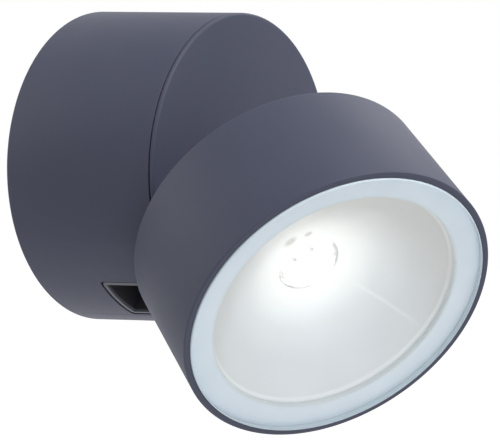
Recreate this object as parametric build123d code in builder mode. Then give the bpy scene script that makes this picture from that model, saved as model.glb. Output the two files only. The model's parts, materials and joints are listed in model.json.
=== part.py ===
from build123d import *
import os
from math import cos, radians, sin, sqrt, tan

# A pivoting wall spotlight, in millimetres.
#
# The wall is the plane Y = 0, the lamp stands out of it towards -Y, and +Z is up.  A round base
# can turns on a wall plate, and a round lamp head of nearly the same size swings on a pin in the
# corner of the can: closed, it lies flush on the can's front, and open, it stands square to it.

os.makedirs("parts", exist_ok=True)

# ---------------------------------------------------------------- the pose that is modelled
PAN_REST = 33.3             # degrees that the hinge stands round from straight down
TILT_REST = 42.6            # degrees that the head is swung open
PAN_TRAVEL = 350.0          # degrees between the two ends of the pan

# ---------------------------------------------------------------- base can
BASE_RADIUS = 55.0          # outside, at the wall
BASE_DRAFT = 1.65           # narrower at the front than at the wall, on the radius
BASE_DEPTH = 61.4           # wall to front face
BASE_WALL = 2.6
WALL_GAP = 0.6              # the turning can stands clear of the wall
LEDGE_THICK = 3.0           # ring inside the front of the can, under the cover
LEDGE_WIDTH = 6.0
SEAT_WIDTH = 3.4            # shoulder inside the can that sits on the carrier
SEAT_THICK = 2.0
COVER_THICK = 3.0
COVER_RIM = 1.4             # thickness of the cover's rim, which stands over the can's wall
COVER_EDGE = 1.1            # rounding of the cover's front edge
SEAM = 0.5                  # shadow gap between the can and the cover's rim
MOUTH_WALL = 1.9            # the can's wall round the cover
EDGE_BREAK = 0.5            # broken outer edges of the castings
LIP_BREAK = 0.2             # the same at the seam
COVER_SCREW_ANGLES = (30, 90, 150, 214, 326)
SEAL_INSET = 4.4            # cover seal, in from the can's outside
SEAL_WIDTH = 2.2
SEAL_THICK = 1.0
SEAL_MARGIN = 0.8           # cover seal, out from the slot
LOCK_ANGLES = (-25, 92)     # grub screws that hold the can on its carrier

# ---------------------------------------------------------------- hinge
HINGE_INSET = 16.5          # pin axis in from the can's outside at the wall
HINGE_BEHIND = 15.5         # pin axis behind the can's front face
CLOSED_GAP = 0.5            # between can and head when the head is closed
SLOT_WIDTH = 22.4
SLOT_BACK = 33.8            # back end of the slot, behind the front face
SLOT_CORNER = 1.4           # radius in the slot's two back corners
LINER_GAP = 0.6             # dark line round the slot's liner
LINER_WALL = 1.3
LINER_INSET = 0.25          # the liner's rim below the surfaces round it
KNUCKLE_RADIUS = 8.5
POCKET_PLAY = 1.0           # knuckle to the liner's inner wall
ARM_THICK = 12.0
FLANGE_WIDTH = 28.0         # foot of the arm, inside the head
FLANGE_LENGTH = 14.8
FLANGE_THICK = 2.5
CHANNEL_GAP = 0.8           # round the lead, in the arm
LEAD_GROMMET_WALL = 1.2
LEAD_GROMMET_HEIGHT = 3.0
FRICTION_THICK = 0.5
FRICTION_RADIUS = 8.0
PIN_RADIUS = 4.0
PIN_HEAD_RADIUS = 6.0
PIN_HEAD_THICK = 2.2
PIN_FLAT = 0.8              # depth of the flats on its head
PIN_BORE = 2.0              # radius of the lead's way through the pin
BUSH_WALL = 1.5
BUSH_FLANGE_RADIUS = 7.0
BUSH_FLANGE_THICK = 0.8
EAR_THICK = 2.5             # steel bracket that holds the pin
EAR_RADIUS = 8.0
FOOT_THICK = 2.2
FOOT_LENGTH = 10.0
FOOT_WIDTH = 8.0
NUT_THICK = 4.0
NUT_RADIUS = 5.8
SPRING_THICK = 1.2

# ---------------------------------------------------------------- wall plate and pan bearing
PLATE_THICK = 3.0
SEAL_SPACE = 2.8            # between the plate's rim and the can's inside
PLATE_RIB_HEIGHT = 1.2
WALL_SCREW_SPACING = 60.0
WALL_SLOT_WIDTH = 5.0
WALL_SLOT_LENGTH = 10.0
GASKET_WIDTH = 3.5
GASKET_THICK = 1.2
ENTRY_RADIUS = 8.0          # way through the spindle for the supply cable
GROMMET_BORE = 4.0
GROMMET_LENGTH = 5.0
GROMMET_NOSE = 2.5
SPINDLE_RADIUS = 12.0
SPINDLE_STAKE = 0.8         # the spindle's foot is spread this much behind the plate
SHOULDER_RADIUS = 15.5
SHOULDER_HEIGHT = 7.3       # wall to the shoulder that the carrier turns on
CARRIER_THICK = 3.0
CARRIER_RING = 8.0
SPOKE_WIDTH = 20.0
SPOKE_ANGLES = (-150, -30, 90)
STOP_INSET = 4.8            # the two stop pegs, in from the gasket
PAN_WASHER_THICK = 0.8
CLIP_THICK = 1.2
CLIP_DEPTH = 1.0
CLIP_WIDTH = 3.4

# ---------------------------------------------------------------- electrical parts in the can
CASE_LENGTH = 50.0
CASE_WIDTH = 24.0
CASE_HEIGHT = 22.0
CASE_WALL = 1.5
CASE_LID = 1.8
CASE_TAB = 1.8
BOARD_STAND = 2.0           # pillars under the driver's board
PILLAR_RADIUS = 1.5
TERMINAL_LENGTH = 20.0
TERMINAL_WIDTH = 14.0
TERMINAL_HEIGHT = 12.0
TERMINAL_CLEAR = 1.5        # from the spindle's shoulder, sideways
TERMINAL_DOWN = 13.0        # from the pan axis to its middle, towards the hinge
EARTH_REACH = 30.0          # earth screw, out along its spoke
SUPPLY_LEAD_RADIUS = 0.9
SUPPLY_LEADS_INSET = (4.0, 7.0)     # where they enter the case, in from its end
SUPPLY_LEADS_RISE = 5.0     # above the terminals' holes
SUPPLY_LEAD_STUB = 5.0      # straight out of the terminals and into the case
LAMP_LEAD_INSET = 11.0      # where it leaves the case, in from its end
LAMP_LEAD_RISE = 16.6       # above the case's floor
LAMP_LEAD_STUB = 8.0
LAMP_LEAD_RADIUS = 1.1
LEAD_TAIL = 2.0             # length of lead inside the case's wall
LOOP_NEAR = 22.0            # the lamp's lead comes down this far beside the can's middle,
LOOP_FAR = 27.0             # swings out this far,
LOOP_SWING = 7.0            # this far before the pin,
LOOP_DROP = 1.0             # and this far behind it
LOOP_START = 21.8           # its way down begins this far before the pin,
LOOP_DEPTH = 9.1            # and this far behind it
LEAD_CLIMB = 6.6            # bend from the arm up over the heat sink
LEAD_REACH = 12.8

# ---------------------------------------------------------------- lamp head
HEAD_STEP = 0.4             # its back is this much smaller than the can's front, on the radius
HEAD_DRAFT = 1.2            # wider at the front, on the radius
HEAD_LENGTH = 46.2
HEAD_WALL = 2.6
HEAD_BACK_WALL = 3.5
RIM_EDGE = 0.45             # bevel outside the head's front rim
RIM_WALL = 2.15             # round the glass
GLASS_THICK = 3.5
GLASS_PROUD = 0.5
GLASS_EDGE = 0.6            # ground bevel
BORDER_WIDTH = 9.2          # printed border behind the glass
BORDER_THICK = 0.3
BOND_THICK = 1.1            # silicone bead that holds the glass
BOND_WIDTH = 4.2
GLASS_LEDGE = 6.4
REFLECTOR_INSET = 2.15      # its mouth, in from the glass ledge
REFLECTOR_SHEET = 0.8
REFLECTOR_FLANGE = 3.6
REFLECTOR_SAG = 2.6         # depth of the bowl's curve
NECK_RADIUS = 10.9          # reflector round the LED's lens
SINK_TO_ARM = 2.4           # heat sink to the arm's foot
SINK_BASE_THICK = 2.0
SINK_TOP_RADIUS = 22.0
SINK_TOP_THICK = 3.0
SINK_HEIGHT = 15.5
SINK_CORE_RADIUS = 9.0
FIN_COUNT = 18
FIN_THICK = 1.6
FIN_INSET = 2.0             # the fins' ends, in from the base
PAD_THICK = 0.3
BOARD_RADIUS = 20.5
BOARD_THICK = 1.6
CHIP_SIZE = 3.4
CHIP_PITCH = 5.2
CHIP_THICK = 0.8
LENS_RADIUS = 9.1
LENS_HEIGHT = 3.4
HOLDER_WALL = 1.3
HOLDER_HEIGHT = 2.2

# ---------------------------------------------------------------- fits
RUN_FIT = 0.05              # a shaft in its bearing, on the radius
SLIP_FIT = 0.1              # faces that slide or are laid on one another
FREE_GAP = 0.3              # surfaces that pass by each other

# ---------------------------------------------------------------- screws: (diameter, head diameter, head height)
M3 = (3.0, 5.4, 2.0)
M3_LOW = (3.0, 5.2, 1.4)
TAP_GAP = 0.05              # tapped hole wider than its screw, on the radius
DRIVE_SHARE = 0.3           # socket radius, of the head's diameter

# ---------------------------------------------------------------- frames
# WALL looks out of the wall.  CAN is WALL turned by the pan, so that the hinge is on its -Y side.
# HINGE sits on the pin axis and leans with the head.  HEAD is centred on the head's back face.
hinge_offset = BASE_RADIUS - HINGE_INSET
hinge_height = BASE_DEPTH - HINGE_BEHIND
hinge_to_head = HINGE_BEHIND + CLOSED_GAP
WALL = Plane(origin=(0, 0, 0), x_dir=(1, 0, 0), z_dir=(0, -1, 0))
CAN = Plane(WALL.location * Rot(0, 0, -PAN_REST))
HINGE = Plane(CAN.location * Pos(0, -hinge_offset, hinge_height) * Rot(TILT_REST, 0, 0))
HEAD = Plane(HINGE.location * Pos(0, hinge_offset, hinge_to_head))
CAN_PIN = Plane(CAN.location * Pos(0, -hinge_offset, hinge_height) * Rot(0, 90, 0))
HEAD_PIN = Plane(HINGE.location * Rot(0, 90, 0))


def section(frame):
    """The plane through a frame's axis in which X is the radius and Y the height."""
    return Plane(frame.origin, x_dir=frame.x_dir, z_dir=-frame.y_dir)


def axis_of(frame):
    """The axis that a frame's round pieces are turned about."""
    return Axis(frame.origin, frame.z_dir)


def turned_over(frame, height):
    """A plane at a height in the frame that looks back down its axis; Y is reversed in it."""
    return Plane(frame.location * Pos(0, 0, height) * Rot(180, 0, 0))


def outward(frame, height, angle):
    """A plane on the frame's axis that looks outwards at an angle round it."""
    return Plane(frame.location * Pos(0, 0, height) * Rot(0, 0, angle) * Rot(0, 90, 0))


def can_radius(height):
    """Outside of the can at a height above the wall."""
    return BASE_RADIUS - BASE_DRAFT * height / BASE_DEPTH


def head_radius(height):
    """Outside of the head at a height above its back face."""
    return BASE_RADIUS - BASE_DRAFT - HEAD_STEP + HEAD_DRAFT * height / HEAD_LENGTH


def hinge_wedge(radius):
    """All that lies past a round of this radius about the pin, between front and side."""
    with BuildPart() as wedge:
        with BuildSketch(CAN_PIN):
            Rectangle(BASE_RADIUS, BASE_RADIUS, align=(Align.MAX, Align.MAX))
            Circle(radius, mode=Mode.SUBTRACT)
        extrude(amount=BASE_RADIUS, both=True)
    return wedge.part


def screw(kind, length):
    """A socket screw: its head stands on the XY plane and its shank goes down from it."""
    diameter, head, height = kind
    with BuildPart() as made:
        Cylinder(head / 2, height, align=(Align.CENTER, Align.CENTER, Align.MIN))
        fillet(made.faces().sort_by(Axis.Z)[-1].edges(), height / 5)
        Cylinder(diameter / 2, length, align=(Align.CENTER, Align.CENTER, Align.MAX))
        with BuildSketch(Plane.XY.offset(height)):
            RegularPolygon(head * DRIVE_SHARE, 6)
        extrude(amount=-height * 0.6, mode=Mode.SUBTRACT)
    return made.part


def can_body(inset):
    """The can's outer form, smaller by an inset all over."""
    with BuildPart() as body:
        with BuildSketch(section(CAN)):
            with BuildLine():
                Polyline(
                    (0, 0),
                    (can_radius(0) - inset, 0),
                    (can_radius(BASE_DEPTH) - inset, BASE_DEPTH - inset),
                    (0, BASE_DEPTH - inset),
                    close=True,
                )
            make_face()
        revolve(axis=axis_of(CAN))
    return body.part


def bends(points):
    """Radii for a lead's corners, each as large as its two runs allow."""
    corners = []
    for before, here, after in zip(points, points[1:], points[2:]):
        come = Vector(*here) - Vector(*before)
        leave = Vector(*after) - Vector(*here)
        turn = radians(come.get_angle(leave))
        corners.append(0.45 * min(come.length, leave.length) / tan(turn / 2))
    return corners


def lead(frame, points, radius):
    """A round lead along a route of points in a frame."""
    route = [frame.from_local_coords(point) for point in points]
    radii = bends([tuple(point) for point in route])
    print("lead of radius", radius, "bends at", [round(value, 1) for value in radii])
    with BuildPart() as made:
        with BuildLine():
            path = FilletPolyline(*route, radius=radii)
        with BuildSketch(Plane(path @ 0, z_dir=path % 0)):
            Circle(radius)
        sweep()
    return made.part


# ================================================================ on the wall

carrier_base = SHOULDER_HEIGHT + SLIP_FIT
carrier_top = carrier_base + CARRIER_THICK
pan_washer_base = carrier_top + SLIP_FIT
clip_base = pan_washer_base + PAN_WASHER_THICK + SLIP_FIT
hub_height = clip_base + CLIP_THICK + FREE_GAP * 3
groove_radius = SPINDLE_RADIUS - CLIP_DEPTH
plate_radius = can_radius(PLATE_THICK) - BASE_WALL - SEAL_SPACE
gasket_outer = plate_radius - FREE_GAP * 4
gasket_inner = gasket_outer - GASKET_WIDTH
stop_radius = gasket_inner - STOP_INSET
stop_peg_radius = stop_radius * sin(radians((360 - PAN_TRAVEL) / 4)) - RUN_FIT
stop_peg_height = (carrier_base - PLATE_THICK) * 0.8

with BuildPart() as wall_plate:
    with BuildSketch(WALL):
        Circle(plate_radius)
    extrude(amount=PLATE_THICK)
    with BuildSketch(WALL.offset(PLATE_THICK)):
        Circle(gasket_outer)
        Circle(gasket_inner, mode=Mode.SUBTRACT)
    extrude(amount=PLATE_RIB_HEIGHT)
    with BuildSketch(WALL):
        with PolarLocations(stop_radius, 1, -90 - PAN_REST):
            Circle(stop_peg_radius)
    extrude(amount=PLATE_THICK + stop_peg_height)
    with BuildSketch(WALL):
        Circle(SPINDLE_RADIUS + TAP_GAP)
        with Locations((-WALL_SCREW_SPACING / 2, 0), (WALL_SCREW_SPACING / 2, 0)):
            SlotOverall(WALL_SLOT_LENGTH, WALL_SLOT_WIDTH)
    extrude(amount=PLATE_THICK, mode=Mode.SUBTRACT)
    with BuildSketch(WALL):
        Circle(SPINDLE_RADIUS + TAP_GAP + SPINDLE_STAKE)
    extrude(amount=SPINDLE_STAKE, taper=45, mode=Mode.SUBTRACT)
    with BuildSketch(WALL):
        Circle(gasket_outer)
        Circle(gasket_inner, mode=Mode.SUBTRACT)
    extrude(amount=GASKET_THICK, mode=Mode.SUBTRACT)
wall_plate.part.label = "wall_plate"
export_step(wall_plate.part, "parts/wall_plate.step")

# Turned spindle, pressed into the plate; its foot is spread in a countersink behind the plate.
groove_base = clip_base - SLIP_FIT
groove_top = clip_base + CLIP_THICK + SLIP_FIT
with BuildPart() as pan_spindle:
    with BuildSketch(section(WALL)):
        with BuildLine():
            Polyline(
                (ENTRY_RADIUS, 0),
                (SPINDLE_RADIUS + SPINDLE_STAKE, 0),
                (SPINDLE_RADIUS, SPINDLE_STAKE),
                (SPINDLE_RADIUS, PLATE_THICK),
                (SHOULDER_RADIUS, PLATE_THICK),
                (SHOULDER_RADIUS, SHOULDER_HEIGHT),
                (SPINDLE_RADIUS, SHOULDER_HEIGHT),
                (SPINDLE_RADIUS, groove_base),
                (groove_radius, groove_base),
                (groove_radius, groove_top),
                (SPINDLE_RADIUS, groove_top),
                (SPINDLE_RADIUS, hub_height),
                (ENTRY_RADIUS, hub_height),
                close=True,
            )
        make_face()
    revolve(axis=axis_of(WALL))
pan_spindle.part.label = "pan_spindle"
export_step(pan_spindle.part, "parts/pan_spindle.step")

with BuildPart() as wall_gasket:
    with BuildSketch(WALL):
        Circle(gasket_outer - SLIP_FIT)
        Circle(gasket_inner + SLIP_FIT, mode=Mode.SUBTRACT)
    extrude(amount=GASKET_THICK)
wall_gasket.part.label = "wall_gasket"
export_step(wall_gasket.part, "parts/wall_gasket.step")

# Lip seal on the plate's rim, inside the turning can.
seal_inner = plate_radius + RUN_FIT
seal_lip = can_radius(PLATE_THICK) - BASE_WALL - FREE_GAP
seal_body = (seal_inner + seal_lip) / 2
with BuildPart() as pan_seal:
    with BuildSketch(section(WALL)):
        with BuildLine():
            Polyline(
                (seal_inner, PLATE_THICK * 0.25),
                (seal_body, PLATE_THICK * 0.25),
                (seal_lip, PLATE_THICK * 0.4),
                (seal_lip, PLATE_THICK * 0.6),
                (seal_body, PLATE_THICK * 0.65),
                (seal_body, PLATE_THICK),
                (seal_inner, PLATE_THICK),
                close=True,
            )
        make_face()
    revolve(axis=axis_of(WALL))
pan_seal.part.label = "pan_seal"
export_step(pan_seal.part, "parts/pan_seal.step")

with BuildPart() as cable_grommet:
    with BuildSketch(WALL):
        Circle(ENTRY_RADIUS - RUN_FIT)
    extrude(amount=GROMMET_LENGTH)
    with BuildSketch(WALL.offset(GROMMET_LENGTH)):
        Circle((ENTRY_RADIUS + GROMMET_BORE) / 2)
    extrude(amount=GROMMET_NOSE, taper=8)
    with BuildSketch(WALL):
        Circle(GROMMET_BORE)
    extrude(amount=GROMMET_LENGTH + GROMMET_NOSE, mode=Mode.SUBTRACT)
cable_grommet.part.label = "cable_grommet"
export_step(cable_grommet.part, "parts/cable_grommet.step")

with BuildPart() as pan_washer:
    with BuildSketch(WALL.offset(pan_washer_base)):
        Circle(SHOULDER_RADIUS)
        Circle(SPINDLE_RADIUS + FREE_GAP, mode=Mode.SUBTRACT)
    extrude(amount=PAN_WASHER_THICK)
pan_washer.part.label = "pan_washer"
export_step(pan_washer.part, "parts/pan_washer.step")

# Open circlip in the spindle's groove, with two ears for the pliers.
ear_middle = groove_radius + CLIP_WIDTH / 2
with BuildPart() as hub_clip:
    with BuildSketch(WALL.offset(clip_base)):
        Circle(groove_radius + CLIP_WIDTH)
        Circle(groove_radius + RUN_FIT, mode=Mode.SUBTRACT)
        Rectangle(CLIP_WIDTH * 2, 3 * SPINDLE_RADIUS, align=(Align.CENTER, Align.MAX), mode=Mode.SUBTRACT)
        with Locations((-CLIP_WIDTH * 1.3, -ear_middle), (CLIP_WIDTH * 1.3, -ear_middle)):
            Circle(CLIP_WIDTH / 2)
            Circle(CLIP_WIDTH / 5, mode=Mode.SUBTRACT)
    extrude(amount=CLIP_THICK)
hub_clip.part.label = "hub_clip"
export_step(hub_clip.part, "parts/hub_clip.step")

# ================================================================ base can, which turns

carrier_radius = can_radius(carrier_base) - BASE_WALL - FREE_GAP
lock_height = carrier_base + CARRIER_THICK / 2
lock_reach = carrier_radius - 1.0
case_near = SHOULDER_RADIUS + FREE_GAP
case_middle = case_near + CASE_WIDTH / 2
tab_offset = CASE_LENGTH / 2 + M3[1] / 2 + FREE_GAP
tray_half = tab_offset + M3[1] / 2
tray_reach = sqrt((carrier_radius - 1) ** 2 - tray_half**2)
terminal_x = -(SHOULDER_RADIUS + TERMINAL_CLEAR + TERMINAL_LENGTH / 2)
terminal_y = -TERMINAL_DOWN
earth_angle = radians(SPOKE_ANGLES[1])
earth_place = (EARTH_REACH * cos(earth_angle), EARTH_REACH * sin(earth_angle))

with BuildPart() as carrier_ring:
    with BuildSketch(CAN.offset(carrier_base)):
        Circle(carrier_radius)
        Circle(carrier_radius - CARRIER_RING, mode=Mode.SUBTRACT)
        Circle(SHOULDER_RADIUS + CLIP_WIDTH)
        for angle in SPOKE_ANGLES:
            with PolarLocations(0, 1, angle):
                Rectangle(carrier_radius - 1, SPOKE_WIDTH, align=(Align.MIN, Align.CENTER))
        Rectangle(2 * tray_half, tray_reach, align=(Align.CENTER, Align.MIN))
        Circle(SPINDLE_RADIUS + RUN_FIT, mode=Mode.SUBTRACT)
    extrude(amount=CARRIER_THICK)
    with BuildSketch(CAN.offset(carrier_base)):
        with PolarLocations(stop_radius, 1, 90):
            Circle(stop_peg_radius)
    extrude(amount=-stop_peg_height)
    for angle in LOCK_ANGLES:
        with BuildSketch(outward(CAN, lock_height, angle).offset(lock_reach - SLIP_FIT)):
            Circle(M3[0] / 2 + TAP_GAP)
        extrude(amount=BASE_RADIUS, mode=Mode.SUBTRACT)
    with BuildSketch(CAN.offset(carrier_top)):
        with Locations((-tab_offset, case_middle), (tab_offset, case_middle), earth_place):
            Circle(M3[0] / 2 + TAP_GAP)
    extrude(amount=-CARRIER_THICK, mode=Mode.SUBTRACT)
carrier_ring.part.label = "carrier_ring"
export_step(carrier_ring.part, "parts/carrier_ring.step")

cover_base = BASE_DEPTH - COVER_THICK
cover_rim_base = BASE_DEPTH - COVER_RIM
mouth_top = cover_rim_base - SEAM
mouth_radius = can_radius(mouth_top) - MOUTH_WALL
ledge_top = cover_base - SEAL_THICK
ledge_base = ledge_top - LEDGE_THICK
ledge_inner = can_radius(ledge_top) - BASE_WALL - LEDGE_WIDTH
seat_top = carrier_top + SEAT_THICK
slot_base = BASE_DEPTH - SLOT_BACK
liner_half = SLOT_WIDTH / 2 - LINER_GAP
pocket_half = liner_half - LINER_WALL
pocket_edge = hinge_offset - KNUCKLE_RADIUS - POCKET_PLAY
liner_edge = pocket_edge - LINER_WALL
notch_edge = liner_edge - LINER_GAP
ear_inner = liner_half + SLIP_FIT
ear_outer = ear_inner + EAR_THICK
web_edge = liner_edge - SLIP_FIT
web_inner = web_edge - EAR_THICK
foot_base = ledge_base - FOOT_THICK
foot_offset = ear_outer + FOOT_LENGTH / 2
side_foot_middle = web_edge + EAR_THICK / 2
foot_screw_places = [
    (-foot_offset, -side_foot_middle),
    (foot_offset, -side_foot_middle),
    (0, -(web_inner - FOOT_LENGTH / 2)),
]
pad_half = foot_offset + FOOT_LENGTH / 2 + 1.0
pad_reach = web_inner - FOOT_LENGTH - 1.0
cover_screw_circle = ledge_inner - M3[1] / 2

with BuildPart() as base_housing:
    with BuildSketch(section(CAN)):
        with BuildLine():
            Polyline(
                (can_radius(WALL_GAP) - EDGE_BREAK, WALL_GAP),
                (can_radius(WALL_GAP + EDGE_BREAK), WALL_GAP + EDGE_BREAK),
                (can_radius(mouth_top - LIP_BREAK), mouth_top - LIP_BREAK),
                (can_radius(mouth_top) - LIP_BREAK, mouth_top),
                (mouth_radius, mouth_top),
                (mouth_radius, ledge_top),
                (ledge_inner, ledge_top),
                (ledge_inner, ledge_base),
                (can_radius(ledge_base) - BASE_WALL, ledge_base),
                (can_radius(seat_top) - BASE_WALL, seat_top),
                (carrier_radius - SEAT_WIDTH, seat_top),
                (carrier_radius - SEAT_WIDTH, carrier_top),
                (can_radius(carrier_top) - BASE_WALL, carrier_top),
                (can_radius(WALL_GAP) - BASE_WALL, WALL_GAP),
                close=True,
            )
        make_face()
    revolve(axis=axis_of(CAN))
    # Pads beside the slot for the hinge bracket, and lugs for the cover's screws.
    with BuildSketch(CAN.offset(ledge_base)):
        Circle(ledge_inner + 1)
        with Locations((0, -pad_reach)):
            Rectangle(2 * pad_half, BASE_RADIUS, align=(Align.CENTER, Align.MAX), mode=Mode.INTERSECT)
    extrude(amount=LEDGE_THICK)
    with BuildSketch(CAN.offset(ledge_base)):
        for angle in COVER_SCREW_ANGLES:
            with PolarLocations(cover_screw_circle, 1, angle):
                Circle(M3[1] * 0.8)
    extrude(amount=LEDGE_THICK)
    # The arm's slot, open to the side and to the front.
    with BuildSketch(section(CAN).offset(notch_edge)):
        with Locations((0, slot_base)):
            Rectangle(SLOT_WIDTH, SLOT_BACK, align=(Align.CENTER, Align.MIN))
        fillet(vertices().group_by(Axis.Y)[0], SLOT_CORNER)
    extrude(amount=BASE_RADIUS, mode=Mode.SUBTRACT)
    add(hinge_wedge(HINGE_BEHIND), mode=Mode.SUBTRACT)
    with BuildSketch(CAN.offset(ledge_base)):
        for angle in COVER_SCREW_ANGLES:
            with PolarLocations(cover_screw_circle, 1, angle):
                Circle(M3[0] / 2 + SLIP_FIT)
        with Locations(*foot_screw_places):
            Circle(M3[0] / 2 + TAP_GAP)
    extrude(amount=LEDGE_THICK, mode=Mode.SUBTRACT)
    for angle in LOCK_ANGLES:
        with BuildSketch(outward(CAN, lock_height, angle).offset(lock_reach)):
            Circle(M3[0] / 2 + TAP_GAP)
        extrude(amount=BASE_RADIUS, mode=Mode.SUBTRACT)
base_housing.part.label = "base_housing"
export_step(base_housing.part, "parts/base_housing.step")

# Grub screws that lock the can to the carrier.
with BuildPart() as lock_screws:
    for angle in LOCK_ANGLES:
        with BuildSketch(outward(CAN, lock_height, angle).offset(lock_reach)):
            Circle(M3[0] / 2)
        extrude(amount=can_radius(lock_height) - 2 * EDGE_BREAK - lock_reach)
        with BuildSketch(outward(CAN, lock_height, angle).offset(can_radius(lock_height) - 2 * EDGE_BREAK)):
            RegularPolygon(M3[0] * DRIVE_SHARE, 6)
        extrude(amount=-M3[0] * 0.5, mode=Mode.SUBTRACT)
lock_screws.part.label = "lock_screws"
export_step(lock_screws.part, "parts/lock_screws.step")

cover_tap = COVER_THICK * 0.6
with BuildPart() as front_cover:
    with BuildSketch(section(CAN)):
        with BuildLine():
            Polyline(
                (0, cover_base),
                (mouth_radius - FREE_GAP, cover_base),
                (mouth_radius - FREE_GAP, cover_rim_base),
                (can_radius(cover_rim_base) - LIP_BREAK, cover_rim_base),
                (can_radius(cover_rim_base + LIP_BREAK), cover_rim_base + LIP_BREAK),
                (can_radius(BASE_DEPTH), BASE_DEPTH),
                (0, BASE_DEPTH),
                close=True,
            )
        make_face()
    revolve(axis=axis_of(CAN))
    fillet(faces().filter_by(axis_of(CAN)).sort_by(axis_of(CAN))[-1].edges(), COVER_EDGE)
    with BuildSketch(CAN.offset(cover_base)):
        for angle in COVER_SCREW_ANGLES:
            with PolarLocations(cover_screw_circle, 1, angle):
                Circle(M3[1] * 0.65)
    extrude(amount=-SEAL_THICK)
    with BuildSketch(CAN.offset(cover_base)):
        with Locations((0, -notch_edge)):
            Rectangle(SLOT_WIDTH, BASE_RADIUS, align=(Align.CENTER, Align.MAX))
    extrude(amount=COVER_THICK, mode=Mode.SUBTRACT)
    add(hinge_wedge(HINGE_BEHIND), mode=Mode.SUBTRACT)
    with BuildSketch(CAN.offset(ledge_top)):
        for angle in COVER_SCREW_ANGLES:
            with PolarLocations(cover_screw_circle, 1, angle):
                Circle(M3[0] / 2 + TAP_GAP)
    extrude(amount=SEAL_THICK + cover_tap, mode=Mode.SUBTRACT)
front_cover.part.label = "front_cover"
export_step(front_cover.part, "parts/front_cover.step")

# Flat seal under the cover: round the rim, and in round the slot.
cover_seal_radius = can_radius(ledge_top) - SEAL_INSET
cover_seal_half = SLOT_WIDTH / 2 + SEAL_MARGIN
with BuildPart() as cover_seal:
    with BuildSketch(CAN.offset(ledge_top)):
        Circle(cover_seal_radius)
        with Locations((0, -notch_edge + SEAL_MARGIN)):
            Rectangle(
                2 * cover_seal_half, BASE_RADIUS, align=(Align.CENTER, Align.MAX), mode=Mode.SUBTRACT
            )
    extrude(amount=SEAL_THICK)
    with BuildSketch(CAN.offset(ledge_top)):
        Circle(cover_seal_radius - SEAL_WIDTH)
        with Locations((0, -notch_edge + SEAL_MARGIN + SEAL_WIDTH)):
            Rectangle(
                2 * (cover_seal_half + SEAL_WIDTH),
                BASE_RADIUS,
                align=(Align.CENTER, Align.MAX),
                mode=Mode.SUBTRACT,
            )
    extrude(amount=SEAL_THICK, mode=Mode.SUBTRACT)
cover_seal.part.label = "cover_seal"
export_step(cover_seal.part, "parts/cover_seal.step")

with BuildPart() as cover_screws:
    cover_screw = screw(M3, LEDGE_THICK + SEAL_THICK + cover_tap - FREE_GAP)
    for angle in COVER_SCREW_ANGLES:
        with Locations(turned_over(CAN, ledge_base)):
            with PolarLocations(cover_screw_circle, 1, -angle):
                add(cover_screw)
cover_screws.part.label = "cover_screws"
export_step(cover_screws.part, "parts/cover_screws.step")

# ================================================================ hinge, in the can

# The liner is a tray that lines the slot and keeps the weather out of the can.
pocket_base = slot_base + LINER_GAP + LINER_WALL
liner_screw_height = pocket_base + M3_LOW[1] / 2 + FREE_GAP
liner_screw_offset = pocket_half / 2
with BuildPart() as slot_liner:
    with BuildSketch(section(CAN).offset(liner_edge)):
        with Locations((0, slot_base + LINER_GAP)):
            Rectangle(2 * liner_half, SLOT_BACK, align=(Align.CENTER, Align.MIN))
        fillet(vertices().group_by(Axis.Y)[0], SLOT_CORNER)
    extrude(amount=BASE_RADIUS)
    with BuildSketch(section(CAN).offset(pocket_edge)):
        with Locations((0, pocket_base)):
            Rectangle(2 * pocket_half, SLOT_BACK, align=(Align.CENTER, Align.MIN))
    extrude(amount=BASE_RADIUS, mode=Mode.SUBTRACT)
    add(can_body(LINER_INSET), mode=Mode.INTERSECT)
    add(hinge_wedge(HINGE_BEHIND - LINER_INSET), mode=Mode.SUBTRACT)
    with BuildSketch(CAN_PIN):
        Circle(PIN_RADIUS + RUN_FIT + BUSH_WALL + FREE_GAP)
    extrude(amount=SLOT_WIDTH, both=True, mode=Mode.SUBTRACT)
    with BuildSketch(section(CAN).offset(liner_edge)):
        with Locations((-liner_screw_offset, liner_screw_height), (liner_screw_offset, liner_screw_height)):
            Circle(M3_LOW[0] / 2 + SLIP_FIT)
    extrude(amount=LINER_WALL, mode=Mode.SUBTRACT)
slot_liner.part.label = "slot_liner"
export_step(slot_liner.part, "parts/slot_liner.step")

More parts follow.
